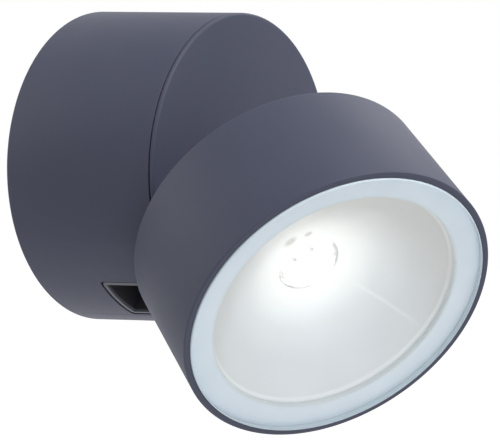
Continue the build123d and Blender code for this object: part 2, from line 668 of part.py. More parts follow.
bracket_base = pocket_base + LINER_WALL
bush_radius = PIN_RADIUS + RUN_FIT + BUSH_WALL
ear_reach = hinge_offset + EAR_RADIUS
with BuildPart() as hinge_bracket:
    # A bent strip: two ears and the web between them, with a foot on each.
    with BuildSketch(CAN.offset(bracket_base)):
        with Locations((0, -web_inner)):
            Rectangle(2 * ear_outer, ear_reach - web_inner, align=(Align.CENTER, Align.MAX))
        with Locations((0, -web_edge)):
            Rectangle(2 * ear_inner, ear_reach, align=(Align.CENTER, Align.MAX), mode=Mode.SUBTRACT)
    extrude(amount=ledge_base - bracket_base)
    with BuildSketch(CAN_PIN):
        with Locations((-HINGE_BEHIND, 0), (HINGE_BEHIND, 0)):
            Rectangle(2 * HINGE_BEHIND, 3 * EAR_RADIUS, align=(Align.CENTER, Align.MAX))
        Circle(EAR_RADIUS, mode=Mode.SUBTRACT)
    extrude(amount=SLOT_WIDTH, both=True, mode=Mode.SUBTRACT)
    with BuildSketch(CAN.offset(foot_base)):
        with Locations((0, -side_foot_middle)):
            Rectangle(2 * (foot_offset + FOOT_LENGTH / 2), FOOT_WIDTH)
            Rectangle(2 * ear_outer, FOOT_WIDTH, mode=Mode.SUBTRACT)
        with Locations((0, -web_inner)):
            Rectangle(FOOT_WIDTH * 1.6, FOOT_LENGTH, align=(Align.CENTER, Align.MIN))
    extrude(amount=FOOT_THICK)
    with BuildSketch(CAN_PIN):
        Circle(bush_radius + TAP_GAP)
    extrude(amount=SLOT_WIDTH, both=True, mode=Mode.SUBTRACT)
    with BuildSketch(CAN.offset(foot_base)):
        with Locations(*foot_screw_places):
            Circle(M3[0] / 2 + SLIP_FIT)
    extrude(amount=FOOT_THICK, mode=Mode.SUBTRACT)
    with BuildSketch(section(CAN).offset(web_inner)):
        with Locations((-liner_screw_offset, liner_screw_height), (liner_screw_offset, liner_screw_height)):
            Circle(M3_LOW[0] / 2 + TAP_GAP)
    extrude(amount=EAR_THICK, mode=Mode.SUBTRACT)
hinge_bracket.part.label = "hinge_bracket"
export_step(hinge_bracket.part, "parts/hinge_bracket.step")

with BuildPart() as bracket_screws:
    bracket_screw = screw(M3, FOOT_THICK + LEDGE_THICK - FREE_GAP)
    with Locations(turned_over(CAN, foot_base)):
        with Locations(*[(x, -y) for x, y in foot_screw_places]):
            add(bracket_screw)
bracket_screws.part.label = "bracket_screws"
export_step(bracket_screws.part, "parts/bracket_screws.step")

with BuildPart() as liner_screws:
    liner_screw = screw(M3_LOW, LINER_WALL + EAR_THICK)
    with Locations(section(CAN).offset(pocket_edge)):
        with Locations((-liner_screw_offset, liner_screw_height), (liner_screw_offset, liner_screw_height)):
            add(liner_screw)
liner_screws.part.label = "liner_screws"
export_step(liner_screws.part, "parts/liner_screws.step")

# Flanged bushes in the ears, one on each side.
with BuildPart() as hinge_bushes:
    for side in (1, -1):
        with BuildSketch(CAN_PIN.offset(side * (pocket_half + SLIP_FIT))):
            Circle(bush_radius)
            Circle(PIN_RADIUS + RUN_FIT, mode=Mode.SUBTRACT)
        extrude(amount=side * (ear_outer - pocket_half - SLIP_FIT))
        with BuildSketch(CAN_PIN.offset(side * ear_outer)):
            Circle(BUSH_FLANGE_RADIUS)
            Circle(PIN_RADIUS + RUN_FIT, mode=Mode.SUBTRACT)
        extrude(amount=side * BUSH_FLANGE_THICK)
hinge_bushes.part.label = "hinge_bushes"
export_step(hinge_bushes.part, "parts/hinge_bushes.step")

# ================================================================ electrical parts, in the can

case_top = carrier_top + CASE_HEIGHT
wire_height = carrier_top + TERMINAL_HEIGHT * 0.42
supply_height = wire_height + SUPPLY_LEADS_RISE
lamp_lead_height = carrier_top + LAMP_LEAD_RISE
lamp_lead_out = LAMP_LEAD_INSET - CASE_LENGTH / 2
supply_leads_in = [inset - CASE_LENGTH / 2 for inset in SUPPLY_LEADS_INSET]
with BuildPart() as driver_case:
    with BuildSketch(CAN.offset(carrier_top)):
        with Locations((0, case_middle)):
            RectangleRounded(CASE_LENGTH, CASE_WIDTH, CASE_WALL)
    extrude(amount=CASE_HEIGHT - CASE_LID)
    with BuildSketch(CAN.offset(carrier_top)):
        with Locations((0, case_middle)):
            SlotOverall(2 * tray_half, M3[1] + CASE_WALL)
    extrude(amount=CASE_TAB)
    with BuildSketch(CAN.offset(carrier_top + CASE_WALL)):
        with Locations((0, case_middle)):
            Rectangle(CASE_LENGTH - 2 * CASE_WALL, CASE_WIDTH - 2 * CASE_WALL)
    extrude(amount=CASE_HEIGHT, mode=Mode.SUBTRACT)
    with BuildSketch(CAN.offset(carrier_top)):
        with Locations((-tab_offset, case_middle), (tab_offset, case_middle)):
            Circle(M3[0] / 2 + SLIP_FIT)
    extrude(amount=CASE_TAB, mode=Mode.SUBTRACT)
    with BuildSketch(section(CAN).offset(-case_near - CASE_WALL)):
        with Locations((lamp_lead_out, lamp_lead_height)):
            Circle(LAMP_LEAD_RADIUS + FREE_GAP)
        with Locations(*[(place, supply_height) for place in supply_leads_in]):
            Circle(SUPPLY_LEAD_RADIUS + FREE_GAP)
    extrude(amount=CASE_WALL, mode=Mode.SUBTRACT)
driver_case.part.label = "driver_case"
export_step(driver_case.part, "parts/driver_case.step")

with BuildPart() as driver_lid:
    with BuildSketch(CAN.offset(case_top - CASE_LID)):
        with Locations((0, case_middle)):
            RectangleRounded(CASE_LENGTH, CASE_WIDTH, CASE_WALL)
    extrude(amount=CASE_LID)
    fillet(faces().filter_by(axis_of(CAN)).sort_by(axis_of(CAN))[-1].edges(), CASE_LID / 3)
    with BuildSketch(CAN.offset(case_top - CASE_LID)):
        with Locations((0, case_middle)):
            Rectangle(CASE_LENGTH - 2 * CASE_WALL - 2 * SLIP_FIT, CASE_WIDTH - 2 * CASE_WALL - 2 * SLIP_FIT)
    extrude(amount=-CASE_WALL)
driver_lid.part.label = "driver_lid"
export_step(driver_lid.part, "parts/driver_lid.step")

driver_board_base = carrier_top + CASE_WALL + BOARD_STAND
board_length = CASE_LENGTH - 2 * CASE_WALL - 2 * FREE_GAP
board_width = CASE_WIDTH - 2 * CASE_WALL - 2 * FREE_GAP
with BuildPart() as driver_board:
    with BuildSketch(CAN.offset(driver_board_base)):
        with Locations((0, case_middle)):
            Rectangle(board_length, board_width)
    extrude(amount=BOARD_THICK)
    # Four pillars that stand the board off the case's floor.
    with BuildSketch(CAN.offset(driver_board_base)):
        with Locations((0, case_middle)):
            with GridLocations(board_length * 0.84, board_width * 0.7, 2, 2):
                Circle(PILLAR_RADIUS)
    extrude(amount=-BOARD_STAND)
driver_board.part.label = "driver_board"
export_step(driver_board.part, "parts/driver_board.step")

# Transformer, two capacitors, a choke and the rectifier.
driver_board_top = driver_board_base + BOARD_THICK
room = case_top - CASE_LID - CASE_WALL - driver_board_top
with BuildPart() as driver_components:
    with BuildSketch(CAN.offset(driver_board_top)):
        with Locations((0, case_middle)):
            Rectangle(board_length * 0.28, board_width * 0.75)
    extrude(amount=room * 0.85)
    chamfer(edges().filter_by(axis_of(CAN)), 1.0)
    with BuildSketch(CAN.offset(driver_board_top)):
        with Locations((-board_length * 0.29, case_middle)):
            Circle(board_width * 0.26)
        with Locations((board_length * 0.26, case_middle + board_width * 0.2)):
            Circle(board_width * 0.17)
    extrude(amount=room * 0.9)
    with BuildSketch(CAN.offset(driver_board_top)):
        with Locations((board_length * 0.26, case_middle - board_width * 0.2)):
            Rectangle(board_length * 0.14, board_width * 0.3)
        with Locations((board_length * 0.42, case_middle)):
            Rectangle(board_length * 0.08, board_width * 0.5)
    extrude(amount=room * 0.4)
driver_components.part.label = "driver_components"
export_step(driver_components.part, "parts/driver_components.step")

with BuildPart() as driver_screws:
    driver_screw = screw(M3, CASE_TAB + CARRIER_THICK - FREE_GAP)
    with Locations(CAN.offset(carrier_top + CASE_TAB)):
        with Locations((-tab_offset, case_middle), (tab_offset, case_middle)):
            add(driver_screw)
driver_screws.part.label = "driver_screws"
export_step(driver_screws.part, "parts/driver_screws.step")

terminal_top = carrier_top + TERMINAL_HEIGHT
pole_pitch = TERMINAL_LENGTH / 3.3
with BuildPart() as terminal_block:
    with BuildSketch(CAN.offset(carrier_top)):
        with Locations((terminal_x, terminal_y)):
            Rectangle(TERMINAL_LENGTH, TERMINAL_WIDTH)
    extrude(amount=TERMINAL_HEIGHT)
    chamfer(faces().filter_by(axis_of(CAN)).sort_by(axis_of(CAN))[-1].edges(), 1.0)
    with BuildSketch(CAN.offset(terminal_top)):
        with Locations((terminal_x, terminal_y)):
            with GridLocations(pole_pitch, 1, 3, 1):
                Circle(TERMINAL_WIDTH * 0.16)
    extrude(amount=-TERMINAL_HEIGHT * 0.35, mode=Mode.SUBTRACT)
    with BuildSketch(section(CAN).offset(-terminal_y - TERMINAL_WIDTH / 2)):
        with Locations((terminal_x, wire_height)):
            with GridLocations(pole_pitch, 1, 3, 1):
                Circle(SUPPLY_LEAD_RADIUS + FREE_GAP)
    extrude(amount=TERMINAL_WIDTH, mode=Mode.SUBTRACT)
terminal_block.part.label = "terminal_block"
export_step(terminal_block.part, "parts/terminal_block.step")

with BuildPart() as terminal_screws:
    with BuildSketch(CAN.offset(terminal_top - TERMINAL_HEIGHT * 0.35)):
        with Locations((terminal_x, terminal_y)):
            with GridLocations(pole_pitch, 1, 3, 1):
                Circle(TERMINAL_WIDTH * 0.16 - SLIP_FIT)
    extrude(amount=TERMINAL_HEIGHT * 0.25)
    with BuildSketch(CAN.offset(terminal_top - TERMINAL_HEIGHT * 0.1)):
        with Locations((terminal_x, terminal_y)):
            with GridLocations(pole_pitch, 1, 3, 1):
                Rectangle(TERMINAL_WIDTH * 0.3, 0.6)
    extrude(amount=-1.0, mode=Mode.SUBTRACT)
terminal_screws.part.label = "terminal_screws"
export_step(terminal_screws.part, "parts/terminal_screws.step")

with BuildPart() as earth_screw:
    with Locations(CAN.offset(carrier_top)):
        with Locations(earth_place):
            add(screw(M3, CARRIER_THICK - FREE_GAP))
            Cylinder(M3[1] * 0.75, 0.8, align=(Align.CENTER, Align.CENTER, Align.MIN))
earth_screw.part.label = "earth_screw"
export_step(earth_screw.part, "parts/earth_screw.step")

# Live and neutral, from the terminals to the driver.
terminal_side = terminal_y + TERMINAL_WIDTH / 2
lead_end = case_near + CASE_WALL + LEAD_TAIL
with BuildPart() as supply_leads:
    for pole, finish in zip((-1, 0), supply_leads_in):
        start = terminal_x + pole * pole_pitch
        route = [
            (start, terminal_side - LEAD_TAIL, wire_height),
            (start, terminal_side + SUPPLY_LEAD_STUB, wire_height),
            (finish, case_near - SUPPLY_LEAD_STUB, supply_height),
            (finish, lead_end, supply_height),
        ]
        add(lead(CAN, route, SUPPLY_LEAD_RADIUS))
supply_leads.part.label = "supply_leads"
export_step(supply_leads.part, "parts/supply_leads.step")

# The lamp's lead, from the driver round to the hollow pin.
pin_end = ear_outer + BUSH_FLANGE_THICK + SLIP_FIT
lead_meets = pocket_half * 0.65
driver_lead_route = [
    (lamp_lead_out, lead_end, lamp_lead_height),
    (lamp_lead_out, case_near - LAMP_LEAD_STUB, lamp_lead_height),
    (-LOOP_NEAR, LOOP_START - hinge_offset, hinge_height - LOOP_DEPTH),
    (-LOOP_FAR, LOOP_SWING - hinge_offset, hinge_height - LOOP_DROP),
    (-LOOP_NEAR, -hinge_offset, hinge_height),
    (-lead_meets - FREE_GAP, -hinge_offset, hinge_height),
]
with BuildPart() as driver_lead:
    add(lead(CAN, driver_lead_route, LAMP_LEAD_RADIUS))
driver_lead.part.label = "driver_lead"
export_step(driver_lead.part, "parts/driver_lead.step")

# ================================================================ hinge, on the head

arm_half = pocket_half - FRICTION_THICK - 2 * RUN_FIT
flange_base = hinge_to_head + HEAD_BACK_WALL
flange_top = flange_base + FLANGE_THICK
flange_screw_x = (arm_half + FLANGE_WIDTH / 2) / 2
flange_screw_y = (FLANGE_LENGTH - M3[1]) / 2
channel_radius = LAMP_LEAD_RADIUS + CHANNEL_GAP
with BuildPart() as hinge_arm:
    with BuildSketch(HEAD_PIN):
        Circle(KNUCKLE_RADIUS)
        Rectangle(flange_top, ARM_THICK, align=(Align.MAX, Align.CENTER))
    extrude(amount=arm_half, both=True)
    with BuildSketch(HINGE.offset(flange_base)):
        Rectangle(FLANGE_WIDTH, FLANGE_LENGTH)
    extrude(amount=FLANGE_THICK)
    with BuildSketch(HEAD_PIN):
        Circle(PIN_RADIUS + TAP_GAP)
    extrude(amount=arm_half, both=True, mode=Mode.SUBTRACT)
    with BuildSketch(HINGE):
        Circle(channel_radius)
    extrude(amount=flange_top, mode=Mode.SUBTRACT)
    with BuildSketch(HINGE.offset(flange_base)):
        with GridLocations(2 * flange_screw_x, 2 * flange_screw_y, 2, 2):
            Circle(M3[0] / 2 + SLIP_FIT)
    extrude(amount=FLANGE_THICK, mode=Mode.SUBTRACT)
hinge_arm.part.label = "hinge_arm"
export_step(hinge_arm.part, "parts/hinge_arm.step")

arm_tap = HEAD_BACK_WALL * 0.8
with BuildPart() as arm_screws:
    with Locations(HINGE.offset(flange_top)):
        with GridLocations(2 * flange_screw_x, 2 * flange_screw_y, 2, 2):
            add(screw(M3, FLANGE_THICK + arm_tap - FREE_GAP))
arm_screws.part.label = "arm_screws"
export_step(arm_screws.part, "parts/arm_screws.step")

# Hollow pin: the lead comes in at its head and leaves through a hole in its middle.
spring_base = pin_end
nut_base = spring_base + SPRING_THICK + SLIP_FIT
pin_length = nut_base + NUT_THICK + FREE_GAP * 2
with BuildPart() as hinge_pin:
    with BuildSketch(HEAD_PIN.offset(-pin_end)):
        Circle(PIN_RADIUS)
    extrude(amount=pin_end + pin_length)
    chamfer(faces().filter_by(axis_of(HEAD_PIN)).sort_by(axis_of(HEAD_PIN))[-1].edges(), FREE_GAP)
    with BuildSketch(HEAD_PIN.offset(-pin_end)):
        Circle(PIN_HEAD_RADIUS)
        Rectangle(3 * PIN_HEAD_RADIUS, 2 * (PIN_HEAD_RADIUS - PIN_FLAT), mode=Mode.INTERSECT)
    extrude(amount=-PIN_HEAD_THICK)
    with BuildSketch(HEAD_PIN.offset(-pin_end - PIN_HEAD_THICK)):
        Circle(PIN_BORE)
    extrude(amount=pin_end + PIN_HEAD_THICK + PIN_BORE, mode=Mode.SUBTRACT)
    with BuildSketch(HINGE):
        Circle(PIN_BORE)
    extrude(amount=2 * PIN_RADIUS, mode=Mode.SUBTRACT)
hinge_pin.part.label = "hinge_pin"
export_step(hinge_pin.part, "parts/hinge_pin.step")

with BuildPart() as friction_washers:
    for side in (1, -1):
        with BuildSketch(HEAD_PIN.offset(side * (arm_half + RUN_FIT))):
            Circle(FRICTION_RADIUS)
            Circle(PIN_RADIUS + SLIP_FIT, mode=Mode.SUBTRACT)
        extrude(amount=side * FRICTION_THICK)
friction_washers.part.label = "friction_washers"
export_step(friction_washers.part, "parts/friction_washers.step")

# Conical spring washer under the nut.
with BuildPart() as spring_washer:
    with BuildSketch(section(HEAD_PIN)):
        with BuildLine():
            Polyline(
                (PIN_RADIUS + SLIP_FIT, spring_base + SPRING_THICK * 0.4),
                (PIN_RADIUS + SLIP_FIT, spring_base + SPRING_THICK),
                (NUT_RADIUS, spring_base + SPRING_THICK * 0.6),
                (NUT_RADIUS, spring_base),
                close=True,
            )
        make_face()
    revolve(axis=axis_of(HEAD_PIN))
spring_washer.part.label = "spring_washer"
export_step(spring_washer.part, "parts/spring_washer.step")

with BuildPart() as pin_nut:
    with BuildSketch(HEAD_PIN.offset(nut_base)):
        RegularPolygon(NUT_RADIUS, 6)
        Circle(PIN_RADIUS + TAP_GAP, mode=Mode.SUBTRACT)
    extrude(amount=NUT_THICK)
pin_nut.part.label = "pin_nut"
export_step(pin_nut.part, "parts/pin_nut.step")

# ================================================================ lamp head

ledge_height = HEAD_LENGTH + GLASS_PROUD - GLASS_THICK - BORDER_THICK - BOND_THICK
rebate_radius = head_radius(HEAD_LENGTH) - RIM_WALL
glass_radius = rebate_radius - SLIP_FIT
glass_ledge_inner = rebate_radius - GLASS_LEDGE
ledge_root = ledge_height - HEAD_WALL
slope_foot = ledge_root - GLASS_LEDGE * 0.8
sink_base_radius = hinge_offset - FLANGE_LENGTH / 2 - SINK_TO_ARM
sink_screw_circle = (SINK_CORE_RADIUS + sink_base_radius) * 0.62
sink_screw_angle = 180 / FIN_COUNT

with BuildPart() as head_housing:
    with BuildSketch(section(HEAD)):
        with BuildLine():
            Polyline(
                (0, 0),
                (head_radius(0) - EDGE_BREAK, 0),
                (head_radius(EDGE_BREAK), EDGE_BREAK),
                (head_radius(HEAD_LENGTH - RIM_EDGE), HEAD_LENGTH - RIM_EDGE),
                (head_radius(HEAD_LENGTH) - RIM_EDGE, HEAD_LENGTH),
                (rebate_radius, HEAD_LENGTH),
                (rebate_radius, ledge_height),
                (glass_ledge_inner, ledge_height),
                (glass_ledge_inner, ledge_root),
                (head_radius(slope_foot) - HEAD_WALL, slope_foot),
                (head_radius(HEAD_BACK_WALL) - HEAD_WALL, HEAD_BACK_WALL),
                (0, HEAD_BACK_WALL),
                close=True,
            )
        make_face()
    revolve(axis=axis_of(HEAD))
    with BuildSketch(HINGE.offset(hinge_to_head)):
        Rectangle(2 * (arm_half + SLIP_FIT), ARM_THICK + 2 * SLIP_FIT)
    extrude(amount=HEAD_BACK_WALL, mode=Mode.SUBTRACT)
    with BuildSketch(HINGE.offset(flange_base)):
        with GridLocations(2 * flange_screw_x, 2 * flange_screw_y, 2, 2):
            Circle(M3[0] / 2 + TAP_GAP)
    extrude(amount=-arm_tap, mode=Mode.SUBTRACT)
    with BuildSketch(HEAD.offset(HEAD_BACK_WALL)):
        with PolarLocations(sink_screw_circle, 3, sink_screw_angle):
            Circle(M3[0] / 2 + TAP_GAP)
    extrude(amount=-arm_tap, mode=Mode.SUBTRACT)
head_housing.part.label = "head_housing"
export_step(head_housing.part, "parts/head_housing.step")

sink_top = HEAD_BACK_WALL + SINK_HEIGHT
board_screw_offset = BOARD_RADIUS - M3_LOW[1] / 2 - EDGE_BREAK
with BuildPart() as heat_sink:
    with BuildSketch(HEAD.offset(HEAD_BACK_WALL)):
        Circle(sink_base_radius)
        with PolarLocations(sink_screw_circle, 3, sink_screw_angle):
            Circle(M3[0] / 2 + SLIP_FIT, mode=Mode.SUBTRACT)
    extrude(amount=SINK_BASE_THICK)
    with BuildSketch(HEAD.offset(HEAD_BACK_WALL)):
        Circle(SINK_CORE_RADIUS)
    extrude(amount=SINK_HEIGHT)
    with BuildSketch(HEAD.offset(HEAD_BACK_WALL)):
        with PolarLocations(0, FIN_COUNT):
            Rectangle(sink_base_radius - FIN_INSET, FIN_THICK, align=(Align.MIN, Align.CENTER))
    extrude(amount=SINK_HEIGHT - SINK_TOP_THICK)
    with BuildSketch(HEAD.offset(sink_top - SINK_TOP_THICK)):
        Circle(SINK_TOP_RADIUS)
        with Locations((-board_screw_offset, 0), (board_screw_offset, 0)):
            Circle(M3_LOW[0] / 2 + TAP_GAP, mode=Mode.SUBTRACT)
    extrude(amount=SINK_TOP_THICK)
heat_sink.part.label = "heat_sink"
export_step(heat_sink.part, "parts/heat_sink.step")

with BuildPart() as sink_screws:
    with Locations(HEAD.offset(HEAD_BACK_WALL + SINK_BASE_THICK)):
        with PolarLocations(sink_screw_circle, 3, sink_screw_angle):
            add(screw(M3, SINK_BASE_THICK + arm_tap - FREE_GAP))
sink_screws.part.label = "sink_screws"
export_step(sink_screws.part, "parts/sink_screws.step")

board_base = sink_top + PAD_THICK
board_top = board_base + BOARD_THICK
with BuildPart() as thermal_pad:
    with BuildSketch(HEAD.offset(sink_top)):
        Circle(BOARD_RADIUS - EDGE_BREAK)
        with Locations((-board_screw_offset, 0), (board_screw_offset, 0)):
            Circle(M3_LOW[0] / 2 + FREE_GAP, mode=Mode.SUBTRACT)
    extrude(amount=PAD_THICK)
thermal_pad.part.label = "thermal_pad"
export_step(thermal_pad.part, "parts/thermal_pad.step")

with BuildPart() as led_board:
    with BuildSketch(HEAD.offset(board_base)):
        Circle(BOARD_RADIUS)
        with Locations((-board_screw_offset, 0), (board_screw_offset, 0)):
            Circle(M3_LOW[0] / 2 + SLIP_FIT, mode=Mode.SUBTRACT)
    extrude(amount=BOARD_THICK)
led_board.part.label = "led_board"
export_step(led_board.part, "parts/led_board.step")

with BuildPart() as led_chips:
    with BuildSketch(HEAD.offset(board_top)):
        with GridLocations(CHIP_PITCH, CHIP_PITCH, 2, 2):
            Rectangle(CHIP_SIZE, CHIP_SIZE)
    extrude(amount=CHIP_THICK)
led_chips.part.label = "led_chips"
export_step(led_chips.part, "parts/led_chips.step")

with BuildPart() as board_screws:
    with Locations(HEAD.offset(board_top)):
        with Locations((-board_screw_offset, 0), (board_screw_offset, 0)):
            add(screw(M3_LOW, BOARD_THICK + PAD_THICK + SINK_TOP_THICK - FREE_GAP))
board_screws.part.label = "board_screws"
export_step(board_screws.part, "parts/board_screws.step")

# The holder seats the lens just above the chips.
lens_base = board_top + CHIP_THICK + SLIP_FIT
holder_inner = LENS_RADIUS + SLIP_FIT
with BuildPart() as lens_holder:
    with BuildSketch(section(HEAD)):
        with BuildLine():
            Polyline(
                (LENS_RADIUS - HOLDER_WALL / 2, board_top),
                (holder_inner + HOLDER_WALL * 2, board_top),
                (holder_inner + HOLDER_WALL * 2, lens_base),
                (holder_inner + HOLDER_WALL, lens_base),
                (holder_inner + HOLDER_WALL, board_top + HOLDER_HEIGHT),
                (holder_inner, board_top + HOLDER_HEIGHT),
                (holder_inner, lens_base),
                (LENS_RADIUS - HOLDER_WALL / 2, lens_base),
                close=True,
            )
        make_face()
    revolve(axis=axis_of(HEAD))
lens_holder.part.label = "lens_holder"
export_step(lens_holder.part, "parts/lens_holder.step")

lens_dome = LENS_HEIGHT * 0.7
dome_radius = (LENS_RADIUS**2 + lens_dome**2) / (2 * lens_dome)
with BuildPart() as led_lens:
    with BuildSketch(HEAD.offset(lens_base)):
        Circle(LENS_RADIUS)
    extrude(amount=LENS_HEIGHT)
    with Locations(HEAD.offset(lens_base + LENS_HEIGHT - dome_radius)):
        Sphere(dome_radius, mode=Mode.INTERSECT)
led_lens.part.label = "led_lens"
export_step(led_lens.part, "parts/led_lens.step")

# White bowl, from the lens out to a flange that lies on the glass ledge.
reflector_mouth = glass_ledge_inner - REFLECTOR_INSET
neck_base = lens_base + SLIP_FIT
lip_height = ledge_height + REFLECTOR_SHEET
with BuildPart() as reflector:
    with BuildSketch(section(HEAD)):
        with BuildLine():
            SagittaArc(
                (NECK_RADIUS, neck_base + REFLECTOR_SHEET),
                (reflector_mouth, lip_height),
                -REFLECTOR_SAG,
            )
            Polyline(
                (reflector_mouth, lip_height),
                (reflector_mouth + REFLECTOR_FLANGE, lip_height),
                (reflector_mouth + REFLECTOR_FLANGE, ledge_height),
                (reflector_mouth + REFLECTOR_SHEET, ledge_height),
            )
            SagittaArc(
                (NECK_RADIUS, neck_base),
                (reflector_mouth + REFLECTOR_SHEET, ledge_height),
                -REFLECTOR_SAG,
            )
            Line((NECK_RADIUS, neck_base), (NECK_RADIUS, neck_base + REFLECTOR_SHEET))
        make_face()
    revolve(axis=axis_of(HEAD))
reflector.part.label = "reflector"
export_step(reflector.part, "parts/reflector.step")

glass_base = HEAD_LENGTH + GLASS_PROUD - GLASS_THICK
with BuildPart() as front_glass:
    with BuildSketch(HEAD.offset(glass_base)):
        Circle(glass_radius)
    extrude(amount=GLASS_THICK)
    chamfer(faces().filter_by(axis_of(HEAD)).sort_by(axis_of(HEAD))[-1].edges(), GLASS_EDGE)
front_glass.part.label = "front_glass"
export_step(front_glass.part, "parts/front_glass.step")

with BuildPart() as glass_border:
    with BuildSketch(HEAD.offset(glass_base - BORDER_THICK)):
        Circle(glass_radius)
        Circle(glass_radius - BORDER_WIDTH, mode=Mode.SUBTRACT)
    extrude(amount=BORDER_THICK)
glass_border.part.label = "glass_border"
export_step(glass_border.part, "parts/glass_border.step")

bond_outer = rebate_radius - FREE_GAP
with BuildPart() as glass_bond:
    with BuildSketch(HEAD.offset(ledge_height)):
        Circle(bond_outer)
        Circle(bond_outer - BOND_WIDTH, mode=Mode.SUBTRACT)
    extrude(amount=BOND_THICK)
glass_bond.part.label = "glass_bond"
export_step(glass_bond.part, "parts/glass_bond.step")

# The head's end of the lamp's lead: out of the pin, up the arm and over to the board.
lead_rest = hinge_to_head + board_top + LAMP_LEAD_RADIUS + SLIP_FIT
head_lead_route = [
    (-lead_meets, 0, 0),
    (0, 0, 0),
    (0, 0, lead_rest - LEAD_CLIMB),
    (0, LEAD_REACH, lead_rest),
    (0, hinge_offset - BOARD_RADIUS * 0.75, lead_rest),
]
with BuildPart() as head_lead:
    add(lead(HINGE, head_lead_route, LAMP_LEAD_RADIUS))
head_lead.part.label = "head_lead"
export_step(head_lead.part, "parts/head_lead.step")

with BuildPart() as lead_grommet:
    with BuildSketch(HINGE.offset(flange_top)):
        Circle(channel_radius + LEAD_GROMMET_WALL)
        Circle(LAMP_LEAD_RADIUS + SLIP_FIT, mode=Mode.SUBTRACT)
    extrude(amount=LEAD_GROMMET_HEIGHT, taper=6)
lead_grommet.part.label = "lead_grommet"
export_step(lead_grommet.part, "parts/lead_grommet.step")
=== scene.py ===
import json
from math import atan2, cos, pi, radians, sin

import bpy
from mathutils import Matrix, Vector


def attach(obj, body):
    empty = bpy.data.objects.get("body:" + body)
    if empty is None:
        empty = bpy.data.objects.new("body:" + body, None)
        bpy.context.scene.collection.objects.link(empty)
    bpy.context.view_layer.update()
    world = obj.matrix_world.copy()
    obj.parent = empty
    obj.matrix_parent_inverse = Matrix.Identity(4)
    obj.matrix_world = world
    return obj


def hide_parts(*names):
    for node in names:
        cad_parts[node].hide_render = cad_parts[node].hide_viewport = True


# A pivoting wall spotlight.  The wall is the plane Y = 0, the lamp stands out towards -Y.

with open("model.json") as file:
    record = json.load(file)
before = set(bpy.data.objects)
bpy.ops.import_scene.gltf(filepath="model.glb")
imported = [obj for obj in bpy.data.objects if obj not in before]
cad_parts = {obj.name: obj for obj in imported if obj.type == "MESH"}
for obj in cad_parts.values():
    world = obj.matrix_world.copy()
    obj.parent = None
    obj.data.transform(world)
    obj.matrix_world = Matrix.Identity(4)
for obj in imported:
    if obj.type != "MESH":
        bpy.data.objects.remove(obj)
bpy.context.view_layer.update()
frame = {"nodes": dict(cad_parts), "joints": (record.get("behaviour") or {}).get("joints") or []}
nodes = frame["nodes"]
MM = 0.001

# ---------------------------------------------------------------- sizes, in millimetres
BASE_BACK_RADIUS = 55.0
BASE_FRONT_RADIUS = 53.35
BASE_DEPTH = 61.4
BASE_WALL = 2.6
WALL_GAP = 0.6
COVER_BASE = 58.4
COVER_RIM_BASE = 60.0
COVER_PLAY = 0.3
COVER_ROUND = 1.1
MOUTH_TOP = 59.5
MOUTH_RADIUS = 51.5
LEDGE_INNER = 44.86
LEDGE_HEIGHTS = (54.4, 57.4)
SEAT_HEIGHTS = (10.4, 12.4)
SEAT_INNER = 48.5
EDGE_ROUND = 0.5
LIP_ROUND = 0.2

HINGE_OFFSET = 38.5
HINGE_HEIGHT = 45.9
HINGE_ROUND = 15.5          # the can's corner is rounded about the pin
SLOT_WIDTH = 22.4
SLOT_BASE = 27.6
SLOT_INNER = 27.1
SLOT_CORNER = 1.4
LINER_GAP = 0.6
LINER_WALL = 1.3
LINER_INSET = 0.25
BUSH_HOLE = 5.85
KNUCKLE_RADIUS = 8.5
ARM_HALF = 8.7
ARM_THICK = 12.0
FOOT_SIZE = (28.0, 14.8)    # the arm's foot, inside the head
FOOT_THICK = 2.5
FOOT_CORNER = 2.0
FOOT_SCREWS = (11.35, 4.7)
FOOT_SCREW_HOLE = 1.6
PIN_HOLE = 4.05
LEAD_HOLE = 1.9
LOCK_ANGLES = (-25, 92)     # the grub screws that hold the can on its ring
LOCK_HEIGHT = 8.9
LOCK_HOLE = 1.55
LOCK_BORE = (45, 60)

HEAD_BACK_RADIUS = 52.95
HEAD_FRONT_RADIUS = 54.15
HEAD_LENGTH = 46.2
HEAD_WALL = 2.6
HEAD_BACK_WALL = 3.5
HEAD_TO_HINGE = 16.0
REBATE_RADIUS = 52.0
GLASS_LEDGE_HEIGHT = 41.8
GLASS_LEDGE_INNER = 45.6
TAPER_TOP = 33.0            # inside, the shell steps in above this
RIM_ROUND = 0.45
ARM_HOLE = (17.6, 12.2)

GLASS_RADIUS = 51.9
GLASS_HEIGHTS = (43.2, 46.7)
GLASS_BEVEL = 0.6
BORDER_INNER = 42.7
BORDER_THICK = 0.3
BORDER_LIFT = 1.1           # how much nearer the print looks through the glass

BOWL_MOUTH = 43.45
BOWL_NECK = 10.9
BOWL_BASE = 22.8
BOWL_TOP = 42.6
BOWL_SAG = 2.6
BOWL_SHEET = 0.8
BOWL_FLANGE = 3.6

LENS_BASE = 21.8
LENS_RADIUS = 9.1
LENS_HEIGHT = 3.4
LENS_EDGE = 1.0             # its flat edge, then a slope between two steps
LENS_STEP = 1.3
LENS_DIMPLE = 1.2           # the hollow in the middle of its top
LENS_DIMPLE_DEPTH = 0.5
BOARD_TOP = 20.9
RING_WALL = 0.65            # the ring that holds the lens
RING_TOP = 23.2
CLIP_ANGLES = (70, 144, 193)
CLIP_SIZE = (1.6, 1.1, 1.0)
CLIP_INSET = 0.4
CLIP_LIFT = 0.2
CLIP_CORNER = 0.3

STEPS = 192                 # round a large piece
SMALL_STEPS = 96            # round a small one
HOLE_STEPS = 32
PROFILE_MERGE = 0.002
SEAM_MERGE = 0.004

